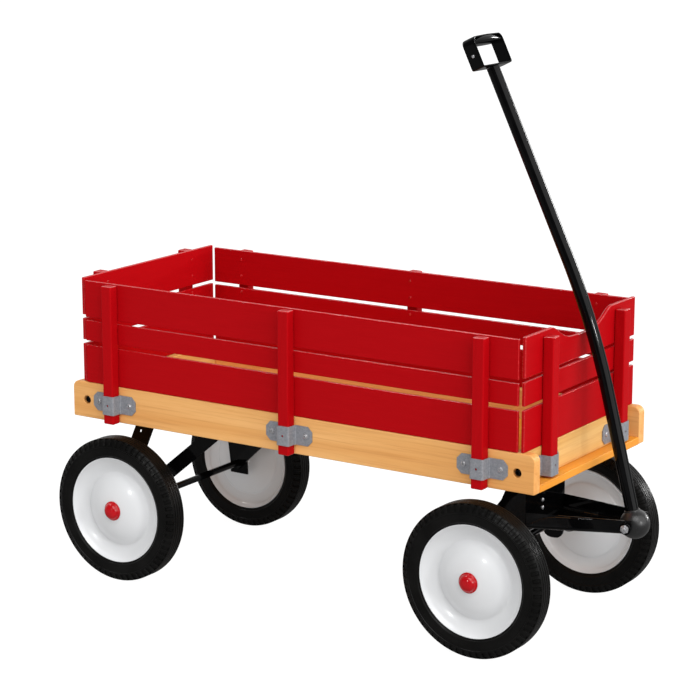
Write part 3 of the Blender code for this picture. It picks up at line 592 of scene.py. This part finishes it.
def make_rails():
    """The two long rails: rounded top corners, soft edges and sunk bolts."""
    sink = [(0, -BOLT_SINK_DEPTH), (BOLT_SINK_RADIUS, -BOLT_SINK_DEPTH), (BOLT_SINK_RADIUS, -SINK_EDGE)]
    sink += [(BOLT_SINK_RADIUS + SINK_EDGE, SINK_ABOVE), (0, SINK_ABOVE)]
    for side, sign in SIDES:
        node = "rail_" + side
        low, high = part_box(node)
        outline = [(low.x, low.z), (high.x, low.z)]
        outline += arc((high.x - RAIL_CORNER, high.z - RAIL_CORNER), RAIL_CORNER, 0, 90, 8)
        outline += arc((low.x + RAIL_CORNER, high.z - RAIL_CORNER), RAIL_CORNER, 90, 180, 8)
        rail = new_object(node, prism_mesh(node, outline, low.y, high.y), RAIL_WOOD)
        add_bevel(rail, RAIL_EDGE, 3)
        for spot in rail_bolt_spots(side, sign):
            cut(rail, lathe_mesh("sink", sink, 32), at(spot, (0, sign, 0)))
        rail = even_shading(new_object("bed_rail_" + side, baked(rail), RAIL_WOOD))
        settle(rail, "bed", "rail_wood", node)


def make_bed_boards():
    """The floor board and the two cross boards."""
    boards = [("bed_floor", "floor_board", FLOOR_EDGE, FLOOR_WOOD, "floor_wood")]
    for end, _ in ENDS:
        boards.append(("bed_cross_" + end, "cross_board_" + end, CROSS_EDGE, CROSS_WOOD, "rail_wood"))
    for name, node, edge, finish, slot in boards:
        settle(rounded_box(name, *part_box(node), edge, finish), "bed", slot, node)


def make_bed_bolts():
    """A black bolt in each sink."""
    places = []
    for side, sign in SIDES:
        for spot in rail_bolt_spots(side, sign):
            places.append(at(spot - Vector((0, sign * BOLT_IN_SINK, 0)), (0, sign, 0), 0.3))
    fasteners("rail_bolts", socket_bolt_mesh(6.2 * MM, 4.6 * MM), places, BLACK, "bed", "black_steel")


# ---- straps

STRAP_THICK = 1.5 * MM
STRAP_CORNER = 8.5 * MM
STRAP_BEND = 3.0 * MM
STRAP_LEAN = 1.0 * MM
STRAP_SCREW_AT = 33.0 * MM
STRAP_HOLE = 1.9 * MM
STRAP_TO_BOARD = 0.3 * MM
STRAP_TO_STAKE = 0.4 * MM


def strap_mesh():
    """The hat-shaped strap: local X along the board, Y away from it, Z up."""
    low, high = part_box("strap_right_middle")
    stake_low, stake_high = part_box("stake_right_middle")
    half, half_height = (high.x - low.x) / 2, (high.z - low.z) / 2
    foot = STRAP_TO_BOARD + STRAP_THICK / 2
    crown = (high.y - low.y) + STRAP_TO_BOARD - STRAP_THICK / 2
    cheek = (stake_high.x - stake_low.x) / 2 + STRAP_TO_STAKE + STRAP_THICK / 2
    corners = [(-half, foot), (-cheek - STRAP_LEAN, foot), (-cheek, crown)]
    corners += [(cheek, crown), (cheek + STRAP_LEAN, foot), (half, foot)]
    bends = filleted(corners, STRAP_BEND, 5)
    path = [bends[0], Vector((-half + STRAP_CORNER, foot))] + bends[1:-1]
    path += [Vector((half - STRAP_CORNER, foot)), bends[-1]]
    shares = (-1.0, -0.33, 0.33, 1.0)
    rows = []
    for spot in path:
        up = half_height - max(0.0, abs(spot.x) - (half - STRAP_CORNER))
        rows.append([(spot.x, spot.y, share * up) for share in shares])
    strap = new_object("strap", grid_mesh("strap", rows, angle=60), ZINC)
    shell = strap.modifiers.new("thickness", "SOLIDIFY")
    shell.thickness = STRAP_THICK
    shell.offset = 0.0
    shell.use_even_offset = True
    cut(strap, plug_mesh("hole", STRAP_HOLE, -0.1, 0.1, 16), at((0, crown, 0), (0, 1, 0)))
    add_bevel(strap, 0.35 * MM, 2, 50)
    return baked(strap, 40)


def strap_places():
    """Each strap's CAD node and its place; local +Y points away from its board."""
    places = []
    for wall in WALLS:
        outward = math.atan2(wall.sign, 0.0) if wall.axis else math.atan2(0.0, wall.sign)
        turn = Matrix.Rotation(outward - math.pi / 2, 4, "Z")
        for stake in wall.stakes:
            node = "strap_" + wall.name + "_" + stake
            spot = middle_of(node)
            spot[wall.axis] = face_of(wall.board, wall.axis, wall.sign)
            places.append((node, Matrix.Translation(spot) @ turn))
    return places


def make_straps():
    """Ten straps and their screws."""
    mesh = strap_mesh()
    screw_places = []
    for index, (node, place) in enumerate(strap_places()):
        strap = even_shading(new_object("stake_" + node, placed(mesh, place), ZINC))
        settle(strap, "bed", "zinc_strap", node)
        for sign in (-1, 1):
            spot = Vector((sign * STRAP_SCREW_AT, STRAP_TO_BOARD + STRAP_THICK, 0))
            screw_places.append(place @ at(spot, (0, 1, 0), 0.7 * index + sign))
    bpy.data.meshes.remove(mesh)
    fasteners("strap_screws", pan_screw_mesh(4.3 * MM, 2.6 * MM), screw_places, STEEL, "bed", "bare_steel")


# ---- panels

SLAT_EDGE = 1.5 * MM
STAKE_EDGE = 2.2 * MM
LEVELS = ("bottom", "middle", "top")
SCOOP_HALF = 103.0 * MM
SCOOP_DEPTH = 26.5 * MM
SCOOP_STEPS = 64
SCREW_REACH = 15.0 * MM
SCOOPED_SCREWS_DOWN = 8.0 * MM


def scooped_slat(node, finish):
    """The front panel's top slat, with a smooth dip where the handle leans."""
    low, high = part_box(node)
    outline = [(low.y, low.z), (high.y, low.z), (high.y, high.z)]
    for index in range(SCOOP_STEPS + 1):
        share = 1.0 - 2.0 * index / SCOOP_STEPS
        rise = (1.0 - math.cos(math.pi * share**2)) / 2
        outline.append((SCOOP_HALF * share, high.z - SCOOP_DEPTH * (1.0 - rise)))
    outline.append((low.y, high.z))
    slat = new_object("panel_" + node, prism_mesh(node, outline, low.x, high.x, "YZX"), finish)
    # The bevels take the glossier red whose lighter tone is a painted highlight along the edges.
    slat.data.materials.append(RED_POLISH_AND_HIGHLIGHT)
    add_bevel(slat, SLAT_EDGE, 3, 40).material = 1
    return even_shading(new_object("panel_" + node, baked(slat)))


def make_panel(wall):
    """A wall's three slats on its stakes."""
    along = 1 - wall.axis
    paint = RED["XY"[along]]
    # Slats and stakes get the glossier red on their edges; its lighter tone is a painted highlight.
    for level in LEVELS:
        node = "slat_" + wall.name + "_" + level
        if node == "slat_front_top":
            slat = scooped_slat(node, paint)
        else:
            slat = rounded_box("panel_" + node, *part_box(node), SLAT_EDGE, paint, RED_POLISH_AND_HIGHLIGHT, along)
        settle(slat, wall.body, "painted_wood", node)
    for place in wall.stakes:
        node = "stake_" + wall.name + "_" + place
        stake = rounded_box("panel_" + node, *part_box(node), STAKE_EDGE, RED["Z"], RED_POLISH_AND_HIGHLIGHT)
        settle(stake, wall.body, "painted_wood", node)


def inner_screw_places(wall):
    """Two screws through each slat into each stake, on the slat's inner face."""
    places = []
    inward = Vector((0, 0, 0))
    inward[wall.axis] = -wall.sign
    for level in LEVELS:
        node = "slat_" + wall.name + "_" + level
        low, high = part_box(node)
        reach = min(SCREW_REACH, 0.3 * (high.z - low.z))
        spot = middle_of(node)
        spot[wall.axis] = face_of(node, wall.axis, -wall.sign)
        if node == "slat_front_top":
            spot.z -= SCOOPED_SCREWS_DOWN
        for place in wall.stakes:
            along = middle_of("stake_" + wall.name + "_" + place)[1 - wall.axis]
            spot[1 - wall.axis] = along
            for sign in (-1, 1):
                places.append(at(spot + Vector((0, 0, sign * reach)), inward, along * 40 + sign))
    return places


def make_panels():
    """Two side panels and two end panels, with their screws."""
    screw = pan_screw_mesh(2.4 * MM, 0.7 * MM)
    for wall in WALLS:
        make_panel(wall)
        name = "panel_screws_" + wall.name
        # The screws take the same glossier red with its lighter, painted-highlight tone.
        fasteners(name, screw, inner_screw_places(wall), RED_POLISH_AND_HIGHLIGHT, wall.body, "painted_wood")


# ---- wheels

LUGS = 62
LUG_SHARES = ((0.0, 0.0), (0.22, 0.1), (0.44, 0.0), (0.52, 1.0), (0.72, 1.0), (0.92, 1.0))
NOTCH = (1.1 * MM, 1.9 * MM)
DISC_STEPS = 160


def tyre_half_profile():
    """Half of the tyre's section in mm, (radius, height, share of the notch), tread first."""
    tread = [(127.0, 0.0)]
    for groove in (3.2, 9.0):
        tread += [(127.0, groove - 0.9), (125.6, groove - 0.6)]
        tread += [(125.6, groove + 0.6), (127.0, groove + 0.9)]
    tread += [(127.0, 12.4), (126.8, 13.6), (126.3, 14.5)]
    shoulder = [(126.2, 14.6), (124.6, 16.2), (122.0, 18.2), (118.5, 19.8), (115.2, 20.7)]
    wall = [(115.0, 20.75), (113.6, 21.4), (112.6, 21.3), (112.0, 20.6), (108.0, 20.7), (103.5, 20.4)]
    wall += [(99.4, 19.7), (98.6, 19.9), (97.6, 20.0), (96.8, 19.6), (96.2, 18.8)]
    wall += [(94.6, 18.3), (93.4, 17.6), (91.5, 14.5), (91.0, 9.0)]
    runs = ((tread, 0), (shoulder, 1), (wall, 0))
    return [(*spot, share) for run, share in runs for spot in run]


def tyre_mesh():
    """The tyre about local Z: grooved tread, a band of small lugs on each shoulder, ringed walls."""
    half = tyre_half_profile()
    section = [(radius, -height, share) for radius, height, share in reversed(half[1:])] + half
    rows = []
    for radius, height, share in section:
        outward = 1.0 if height > 0 else -1.0
        row = []
        for lug in range(LUGS):
            for part, depth in LUG_SHARES:
                turn = 2 * math.pi * (lug + part) / LUGS
                near = radius * MM - NOTCH[0] * share * depth
                up = height * MM - outward * NOTCH[1] * share * depth
                row.append((near * math.cos(turn), near * math.sin(turn), up))
        rows.append(row)
    return grid_mesh("tyre", rows, close_rows=True, close_columns=True, angle=32)


def disc_mesh():
    """The pressed disc about local Z, +Z outwards: domed centre, valley, rolled lip and inner web."""
    outer = [(6.3, 22.2), (16.0, 22.2), (21.0, 21.6), (33.0, 19.3), (45.0, 15.6), (55.0, 10.9)]
    outer += [(61.5, 6.8), (64.6, 4.6), (67.0, 4.0), (71.5, 4.6), (78.5, 7.2), (85.5, 11.0), (90.0, 14.9)]
    profile = flowing(in_mm(outer), 5)
    lip = [(91.4, 16.9), (92.1, 17.5), (92.9, 17.4), (93.0, 16.6), (92.2, 15.0), (90.6, 12.6), (89.8, 9.0)]
    lip += [(89.6, 0.0), (89.8, -9.0), (90.6, -12.6), (92.2, -15.0), (92.0, -16.8)]
    lip += [(91.4, -17.4), (90.4, -16.9)]
    inner = [(89.0, -14.8), (86.0, -12.2), (83.0, -8.6), (77.0, -6.6), (70.0, -5.8), (66.5, -6.2)]
    inner += [(63.5, -8.4), (56.0, -10.8), (45.0, -13.6), (30.0, -16.8), (16.0, -18.6)]
    sleeve = [(13.2, -19.2), (13.0, -20.0), (13.0, -26.9), (12.4, -27.5), (6.9, -27.5), (6.3, -26.9)]
    profile += in_mm(lip) + flowing(in_mm(inner), 5) + in_mm(sleeve)
    return lathe_mesh("disc", profile, DISC_STEPS, closed=True, angle=50)


def cap_mesh():
    """The domed hub cap with its narrow brim, about local Z."""
    brim = [(0, 22.3), (16.4, 22.3), (17.0, 22.8), (17.0, 23.5), (16.4, 24.1), (15.3, 24.5), (14.6, 25.4)]
    dome = [(14.2, 26.6), (12.6, 29.4), (10.0, 31.6), (6.4, 33.1), (3.0, 33.6), (0.0, 33.8)]
    return lathe_mesh("cap", in_mm(brim) + flowing(in_mm(dome), 3), 48, angle=50)


def make_wheels():
    """Four wheels: tyre, disc and cap from shared shapes, each turned about its axle."""
    shapes = {
        "tyre": (tyre_mesh(), RUBBER, "tyre_rubber", "tyre_"),
        "disc": (disc_mesh(), WHITE, "white_steel", "wheel_disc_"),
        "cap": (cap_mesh(), CAP_RED, "cap_red", "hub_cap_"),
    }
    for end_index, (end, _) in enumerate(ENDS):
        for side, sign in SIDES:
            name = end + "_" + side
            place = at(middle_of("tyre_" + name), (0, sign, 0), 0.5 * end_index + sign)
            for kind, (mesh, finish, slot, prefix) in shapes.items():
                piece = new_object("wheel_" + kind + "_" + name, placed(mesh, place), finish)
                settle(piece, "wheel_" + name, slot, prefix + name)
    for mesh, *_ in shapes.values():
        bpy.data.meshes.remove(mesh)


# ---- steel frame parts

AXLE_BEND = 16.0 * MM
AXLE_TIP = 1.2 * MM
WASHER_AT = 162.6 * MM
WASHER_RADIUS = 13.5 * MM
WASHER_THICK = 1.8 * MM
ARCH_HALF = 84.0 * MM
ARCH_END = 118.0 * MM
RIVET_Y = -10.0 * MM
RIVET_HEIGHTS = (215.0 * MM, 202.0 * MM)


def refined(node, name, finish, body, slot, edge):
    """A CAD node's shape as its own piece, with flat faces joined and soft edges."""
    work = bmesh.new()
    work.from_mesh(bpy.data.objects[node].data)
    bmesh.ops.remove_doubles(work, verts=work.verts, dist=1e-6)
    bmesh.ops.dissolve_limit(work, angle_limit=math.radians(0.6), verts=work.verts, edges=work.edges)
    piece = new_object(name, mesh_from(name, work), finish)
    add_bevel(piece, edge).use_clamp_overlap = True
    settle(even_shading(piece), body, slot, node)


def make_rear_frame():
    """The rear saddle with its braces, the axle and the washers against the hubs."""
    refined("rear_axle_frame", "rear_frame", BLACK, "bed", "black_steel", 0.7 * MM)
    low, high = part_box("rear_axle")
    z = (low.z + high.z) / 2
    make_axle("rear", "bed", [(low.y, z), (0.0, z), (high.y, z)])


def make_axle(end, body, path):
    """A black axle rod along a path in YZ, and a washer beside each hub."""
    node = end + "_axle"
    low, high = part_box(node)
    x, radius = (low.x + high.x) / 2, (high.x - low.x) / 2
    hub_z = middle_of("tyre_" + end + "_left").z
    points = [Vector((x, spot[0], spot[1])) for spot in filleted(path, AXLE_BEND, 8)]
    points[0].y += AXLE_TIP
    points[-1].y -= AXLE_TIP
    rod = new_object("axle_rod_" + end, tube_mesh("rod", points, radius, 32), BLACK)
    settle(rod, body, "black_steel", node)
    washer = washer_mesh(WASHER_RADIUS, radius + 0.1 * MM, WASHER_THICK)
    places = [at((x, sign * WASHER_AT, hub_z), (0, sign, 0)) for _, sign in SIDES]
    fasteners("axle_washers_" + end, washer, places, STEEL, body, "bare_steel")


def make_truck():
    """The steered bracket, its bolster, kingpin and axle, with two rivets on its front face."""
    refined("truck_bracket", "truck_body", BLACK, "front_truck", "black_steel", 1.6 * MM)
    refined("front_bolster", "bolster", BLACK, "bed", "black_steel", 1.0 * MM)
    refined("kingpin", "kingpin_bolt", STEEL, "bed", "bare_steel", 0.8 * MM)
    low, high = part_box("front_axle")
    radius = (high.x - low.x) / 2
    hub_z, arch_z = low.z + radius, high.z - radius
    half_path = [(high.y, hub_z), (ARCH_END, hub_z), (ARCH_HALF, arch_z)]
    path = [(-y, z) for y, z in half_path] + [(y, z) for y, z in reversed(half_path)]
    make_axle("front", "front_truck", path)
    front = face_of("truck_bracket", 0, 1)
    rivet = pan_screw_mesh(3.4 * MM, 2.2 * MM, recess=False)
    places = [at((front, RIVET_Y, height), (1, 0, 0)) for height in RIVET_HEIGHTS]
    fasteners("truck_rivets", rivet, places, STEEL, "front_truck", "bare_steel")


# ---- tongue

TONGUE_THICK = 2.5 * MM
TONGUE_STATIONS = 44
CREASE_END = 56.0 * MM
CREASE_STEP = 1.4 * MM
LIP_FLARE = 1.6 * MM
FRONT_ROUND = 12.0 * MM
NOSE_HALF = 30.5 * MM
NOSE_BOTTOM = 188.5 * MM
HEEL_TOP = 206.5 * MM
MOUTH_RADIUS = 29.0 * MM
MOUTH_NARROW = 0.93
PIN_RADIUS = 5.0 * MM
PIN_BORE = 5.3 * MM


def lerp(first, second, share):
    """A value between two others."""
    return first + (second - first) * share


def tongue_wall(x, low, high, inset):
    """One side wall and its fold, from lip to floor, as (y, z); inset is the steel outside of it."""
    share = (x - low.x) / (high.x - low.x)
    half = lerp(high.y - LIP_FLARE, NOSE_HALF, share) - inset
    bottom, top = lerp(low.z, NOSE_BOTTOM, share) + inset, lerp(HEEL_TOP, high.z, share)
    along = (x - low.x) / CREASE_END
    climb = 1.0 - (1.0 - min(along, 1.0)) ** 2
    crease = lerp(183.0 * MM, 205.5 * MM, climb)
    step = CREASE_STEP * max(0.0, min(1.0, 2.2 - along))
    if along > 1.0:
        crease = lerp(crease, top - 1.0 * MM, min((along - 1.0) * 2, 1.0))
    crease = max(min(crease, lerp(bottom, top, 0.9)), lerp(bottom, top, 0.25))
    corner = min(9.0 * MM, 0.45 * (top - bottom)) - inset
    flare = LIP_FLARE * max(0.0, 1.0 - share / 0.8)
    wall = [(half + flare, top), (half + 0.7 * flare, lerp(top, crease, 0.3))]
    wall += [(half, lerp(top, crease, 0.6)), (half, crease + 0.9 * MM), (half + step, crease - 0.3 * MM)]
    wall += [(half + step, lerp(crease, bottom + corner, 0.5)), (half + step, bottom + corner)]
    wall += arc((half + step - corner, bottom + corner), corner, 0, -90, 6)[1:]
    return wall + [(part * (half - corner), bottom) for part in (0.6, 0.3)]


def tongue_section(x, low, high):
    """One cross-section of the channel: its outer skin from lip to lip, and back along the inner skin."""
    skins = []
    for inset in (0.0, TONGUE_THICK):
        wall = tongue_wall(x, low, high, inset)
        near = [(x, -y, z) for y, z in wall]
        far = [(x, y, z) for y, z in reversed(wall)]
        skins.append(near + [(x, 0.0, wall[-1][1])] + far)
    return skins


def make_tongue():
    """The pressed steel channel that carries the ball, with its curved side crease."""
    low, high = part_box("tongue")
    rows = []
    for index in range(TONGUE_STATIONS + 1):
        share = index / TONGUE_STATIONS
        ease = 1.0 - (1.0 - share) ** 1.6
        outer, inner = tongue_section(lerp(low.x, high.x - 0.2 * MM, ease), low, high)
        rows.append(outer + inner[::-1])
        if index in (0, TONGUE_STATIONS):
            middle = [tuple((a + b) / 2 for a, b in zip(*pair)) for pair in zip(outer, inner)]
            rows.insert(-1 if index == 0 else len(rows), middle + middle[::-1])
    mesh = grid_mesh("tongue_channel", rows, close_columns=True, angle=40)
    channel = new_object("tongue_channel", mesh, BLACK)
    ball = middle_of("handle_ball")
    mouth = plug_mesh("mouth", MOUTH_RADIUS, -40 * MM, 30 * MM, 48)
    mouth.transform(Matrix.Diagonal((1.0, MOUTH_NARROW, 1.0, 1.0)))
    cut(channel, mouth, at(ball))
    cut(channel, plug_mesh("bore", PIN_BORE, -80 * MM, 80 * MM, 24), at(ball, (0, 1, 0)))
    nose = arc((high.x - FRONT_ROUND, (NOSE_BOTTOM + high.z) / 2), FRONT_ROUND, -90, 90, 24)
    beyond = high.x + 20 * MM
    outline = [(beyond, low.z - 20 * MM), (nose[0][0], low.z - 20 * MM)] + nose
    outline += [(nose[-1][0], high.z + 20 * MM), (beyond, high.z + 20 * MM)]
    cut(channel, prism_mesh("nose", outline, -90 * MM, 90 * MM))
    add_bevel(channel, 0.5 * MM, 2, 50)
    channel = new_object("tongue_channel", baked(channel, 35), BLACK)
    # Upward-facing crease faces at the rear take the lighter, glossier enamel: a painted highlight along
    # the arc.
    channel.data.materials.append(CREASE_HIGHLIGHT_ENAMEL)
    for face in channel.data.polygons:
        side = abs(face.normal.y)
        if face.center.x < low.x + 1.3 * CREASE_END and face.normal.z > 0.3 and 0.3 < side < 0.9:
            face.material_index = 1
    settle(even_shading(channel), "front_truck", "black_steel", "tongue")


def make_ball_pin():
    """The pin through the ball: black washers, a plated nut on one side and a head on the other."""
    low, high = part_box("ball_pin")
    centre = (low + high) / 2
    reach = (high.y - low.y) / 2 - 6.0 * MM
    rod = new_object("ball_pin_shank", plug_mesh("shank", PIN_RADIUS, -reach - MM, reach + MM, 28), STEEL)
    rod.data.transform(at(centre, (0, 1, 0)))
    settle(rod, "front_truck", "bare_steel", "ball_pin")
    washer_thick = 1.4 * MM
    washer = washer_mesh(9.8 * MM, PIN_RADIUS, washer_thick)
    places = [at(centre + Vector((0, sign * reach, 0)), (0, sign, 0)) for _, sign in SIDES]
    fasteners("ball_pin_washers", washer, places, BLACK, "front_truck", "black_steel")
    nut, head = hex_nut_mesh(7.2 * MM, 3.6 * MM, 3.6 * MM), pan_screw_mesh(7.6 * MM, 4.4 * MM)
    for name, mesh, sign, spin in (("ball_pin_nut", nut, -1, 0.4), ("ball_pin_head", head, 1, 0.5)):
        spot = centre + Vector((0, sign * (reach + washer_thick), 0))
        fasteners(name, mesh, [at(spot, (0, sign, 0), spin)], STEEL, "front_truck", "bare_steel")


# ---- handle

LOWER_LEAN = math.radians(14.5)
UPPER_LEAN = math.radians(25.6)
BEND_START = 210.0 * MM
BEND_LENGTH = 230.0 * MM
TUBE_LENGTH = 764.0 * MM
TUBE_RADIUS = 10.6 * MM
SOCKET_START = 11.3 * MM
SOCKET_FLOOR = 8.0 * MM
SOCKET_RADIUS = TUBE_RADIUS + 0.5 * MM
COLLAR_RADIUS = TUBE_RADIUS + 2.6 * MM


def handle_run(distance, steps=40):
    """The tube's centreline at a distance from the ball's middle, and its lean there."""
    x = z = 0.0
    lean = LOWER_LEAN
    for index in range(steps):
        bent = (distance * (index + 0.5) / steps - BEND_START) / BEND_LENGTH
        lean = lerp(LOWER_LEAN, UPPER_LEAN, min(max(bent, 0.0), 1.0))
        x -= math.sin(lean) * distance / steps
        z += math.cos(lean) * distance / steps
    return middle_of("ball_pin") + Vector((x, 0, z)), lean


def make_ball():
    """The handle's ball with the collar that grips the tube."""
    centre = middle_of("ball_pin")
    radius = (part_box("handle_ball")[1].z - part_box("handle_ball")[0].z) / 2
    meet = math.degrees(math.acos(COLLAR_RADIUS / radius))
    profile = arc((0, 0), radius, -90, meet, 26)
    profile[0] = (0.0, -radius)
    rim = radius * math.sin(math.radians(meet)) + 1.8 * MM
    profile += [(COLLAR_RADIUS - 0.2 * MM, rim), (COLLAR_RADIUS - 0.9 * MM, rim + 0.7 * MM)]
    profile += [(SOCKET_RADIUS, rim + 0.8 * MM), (SOCKET_RADIUS, SOCKET_FLOOR), (0.0, SOCKET_FLOOR)]
    direction = (-math.sin(LOWER_LEAN), 0, math.cos(LOWER_LEAN))
    ball = new_object("ball", lathe_mesh("ball", profile, 64, angle=40), BALL_BLACK)
    ball.matrix_world = at(centre, direction)
    cut(ball, plug_mesh("ball_bore", PIN_BORE, -40 * MM, 40 * MM, 28), at(centre, (0, 1, 0)))
    shaped = baked(ball, 35)
    shaped.transform(at(centre, direction))
    settle(new_object("handle_ball_socket", shaped, BALL_BLACK), "handle", "ball_plastic", "handle_ball")


def make_tube():
    """The gently bent steel tube."""
    reach = TUBE_LENGTH - SOCKET_START
    points = [handle_run(SOCKET_START + reach * index / 90)[0] for index in range(91)]
    tube = new_object("handle_rod", tube_mesh("handle_rod", points, TUBE_RADIUS, 40), BLACK)
    settle(tube, "handle", "black_steel", "handle_tube")


GRIP_HALF = 46.0 * MM
GRIP_CROWN = 53.0 * MM
GRIP_SIDE = 41.0 * MM
GRIP_STRAP = 3.0 * MM
GRIP_DEPTH = 24.0 * MM
GRIP_FOOT_ROUND = 4.0 * MM
GRIP_SHOULDER = 12.0 * MM
GRIP_RIVET_UP = 22.0 * MM
BAR_FOOT = 38.0 * MM
BAR_SQUARENESS = 2.6
BAR_STEPS = 24
BAR_SIDES = 28


def grip_outline():
    """The strap loop seen square on: its right half from foot to crown, then its left half."""
    foot = GRIP_FOOT_ROUND
    outline = [(0.0, 0.0), (0.5 * GRIP_HALF, 0.0), (GRIP_HALF - foot, 0.0)]
    outline += arc((GRIP_HALF - foot, foot), foot, -60, 0, 3)
    outline += [(GRIP_HALF, 0.5 * GRIP_SIDE), (GRIP_HALF, GRIP_SIDE - 4.0 * MM)]
    outline += arc((GRIP_HALF - GRIP_SHOULDER, GRIP_SIDE), GRIP_SHOULDER, 10, 68, 5)
    outline += [(0.45 * GRIP_HALF, GRIP_CROWN - 0.7 * MM), (0.0, GRIP_CROWN)]
    return outline + [(-across, up) for across, up in reversed(outline[1:-1])]


def grip_section(point, inward):
    """A thin rounded section across the strap, from its outer face round to its inner face."""
    half, edge, thick = GRIP_DEPTH / 2, 0.9 * MM, GRIP_STRAP
    across = [(-half, edge), (-half + edge, 0.0), (0.0, 0.0), (half - edge, 0.0), (half, edge)]
    across += [(half, thick - edge), (half - edge, thick), (0.0, thick)]
    across += [(-half + edge, thick), (-half, thick - edge)]
    return [(*(point + inward * inset), depth) for depth, inset in across]


def grip_bar_mesh():
    """The moulded bar between the arms: flat below, swelling over the strap's crown in its middle."""
    half = GRIP_HALF - GRIP_STRAP + 0.4 * MM
    rows = []
    for index in range(BAR_STEPS + 1):
        share = index / BAR_STEPS * 2 - 1
        swell = 1.0 - share**2
        top = lerp(GRIP_SIDE + 3.0 * MM, GRIP_CROWN + 0.4 * MM, swell)
        bottom = lerp(BAR_FOOT + 1.0 * MM, BAR_FOOT, swell)
        depth = lerp(0.40, 0.54, swell) * GRIP_DEPTH
        ring = []
        for side, up in circle(BAR_SIDES):
            square = (abs(side) ** BAR_SQUARENESS + abs(up) ** BAR_SQUARENESS) ** (-1 / BAR_SQUARENESS)
            middle, reach = (top + bottom) / 2, (top - bottom) / 2
            ring.append((share * half, middle + up * square * reach, side * square * depth))
        rows.append(ring)
    ends = [tuple(sum(axis) / BAR_SIDES for axis in zip(*row)) for row in (rows[0], rows[-1])]
    rows = [[ends[0]] * BAR_SIDES] + rows + [[ends[1]] * BAR_SIDES]
    return grid_mesh("handle_bar", rows, close_columns=True, angle=50)


def make_grip():
    """The loop grip: a flat strap bent into a loop, the moulded bar under its crown, two rivets."""
    spot, lean = handle_run(TUBE_LENGTH + 0.6 * MM)
    upright = Matrix.Rotation(math.pi / 2, 4, "Z") @ Matrix.Rotation(math.pi / 2, 4, "X")
    place = Matrix.Translation(spot) @ Matrix.Rotation(-lean, 4, "Y") @ upright
    outer = [Vector(point) for point in grip_outline()]
    rows = []
    for index, point in enumerate(outer):
        tangent = (outer[(index + 1) % len(outer)] - outer[index - 1]).normalized()
        rows.append(grip_section(point, Vector((-tangent.y, tangent.x))))
    mesh = grid_mesh("handle_loop", rows, close_rows=True, close_columns=True, angle=45)
    mesh.transform(place)
    loop = new_object("handle_loop", mesh, BLACK)
    smoother = loop.modifiers.new("smoother", "SUBSURF")
    smoother.levels = smoother.render_levels = 2
    settle(loop, "handle", "black_steel", "handle_grip")
    bar_shape = grip_bar_mesh()
    bar_shape.transform(place)
    settle(new_object("handle_bar", bar_shape, BLACK), "handle", "black_steel")
    rivet = pan_screw_mesh(2.6 * MM, 1.4 * MM, recess=False)
    places = [place @ at((sign * GRIP_HALF, GRIP_RIVET_UP, 0.0), (sign, 0, 0)) for sign in (-1, 1)]
    fasteners("grip_rivets", rivet, places, STEEL, "handle", "bare_steel")


# ---- studio

SURROUND_LIGHT = 0.52
FLOOR_LIGHT = 0.58
DARK_ROOM = 0.08
BACKDROP = (-0.53, 0.84, 0.10)
CAMERA_SPOT = (2.0644, -3.2338, 1.2990)
CAMERA_AIM = (-0.5326, 0.8165, -0.2231)
WHITE_LIGHT = (1.0, 1.0, 1.0, 1.0)

# Distant soft boxes: name, direction, strength and how wide each is in the sky, in degrees.
SOFT_BOXES = (
    ("front_box", (0.87, -0.06, 0.46), 2.25, 80.0),
    ("side_box", (-0.08, -0.95, 0.28), 0.30, 5.0),
    ("nose_box", (0.93, -0.20, 0.28), 0.45, 3.5),
    ("rim_box", (0.33, 0.92, 0.20), 0.60, 8.0),
    ("top_box", (0.32, -0.50, 0.80), 1.25, 40.0),
    ("rear_box", (-0.50, -0.10, 0.85), 0.30, 8.0),
)


def aim(item, target):
    """Turn a light or the camera towards a point."""
    item.rotation_euler = (Vector(target) - item.location).to_track_quat("-Z", "Y").to_euler()


def make_camera():
    """The catalogue view: from the front right corner, a little above."""
    lens = bpy.data.cameras.new("camera")
    lens.lens = 119.9
    lens.sensor_width = 36.0
    lens.clip_end = 100.0
    camera = new_object("camera", lens)
    camera.location = CAMERA_SPOT
    aim(camera, camera.location + Vector(CAMERA_AIM))
    bpy.context.scene.camera = camera


def make_lights():
    """The even, distant soft boxes."""
    for name, direction, strength, angle in SOFT_BOXES:
        light = bpy.data.lights.new(name, "SUN")
        light.energy = strength
        light.angle = math.radians(angle)
        holder = new_object(name, light)
        holder.location = Vector(direction) * 3.0
        aim(holder, (0, 0, 0))


def make_studio():
    """White all round to look at; glossy parts mirror a white backdrop and a dim room before it."""
    nodes = Nodes("studio", world=True)
    bpy.context.scene.world = nodes.owner
    sockets = {0: nodes.coordinates, 1: BACKDROP}
    towards = nodes.add("ShaderNodeVectorMath", sockets, operation="DOT_PRODUCT").outputs["Value"]
    mirrored = nodes.remap(towards, 0.1, 0.7, DARK_ROOM, 1.0)
    nodes.set(Color=WHITE_LIGHT, Strength=nodes.by_ray(SURROUND_LIGHT, mirrored, 1.0))


def make_ground():
    """The pale studio floor."""
    nodes = Nodes("studio_floor")
    nodes.set(Base_Color=(0.12, 0.12, 0.12, 1.0), Roughness=0.9, Specular_IOR_Level=0.0)
    nodes.set(Emission_Color=WHITE_LIGHT, Emission_Strength=nodes.by_ray(FLOOR_LIGHT, DARK_ROOM, 0.97))
    half = 40.0
    rows = [[(-half, y, 0.0), (half, y, 0.0)] for y in (-half, half)]
    new_object("studio_floor", grid_mesh("studio_floor", rows), nodes.owner)


make_rails()
make_bed_boards()
make_bed_bolts()
make_straps()
make_panels()
make_wheels()
make_rear_frame()
make_truck()
make_tongue()
make_ball_pin()
make_ball()
make_tube()
make_grip()
make_camera()
make_studio()
make_lights()
make_ground()

bpy.context.scene.view_settings.view_transform = "Standard"
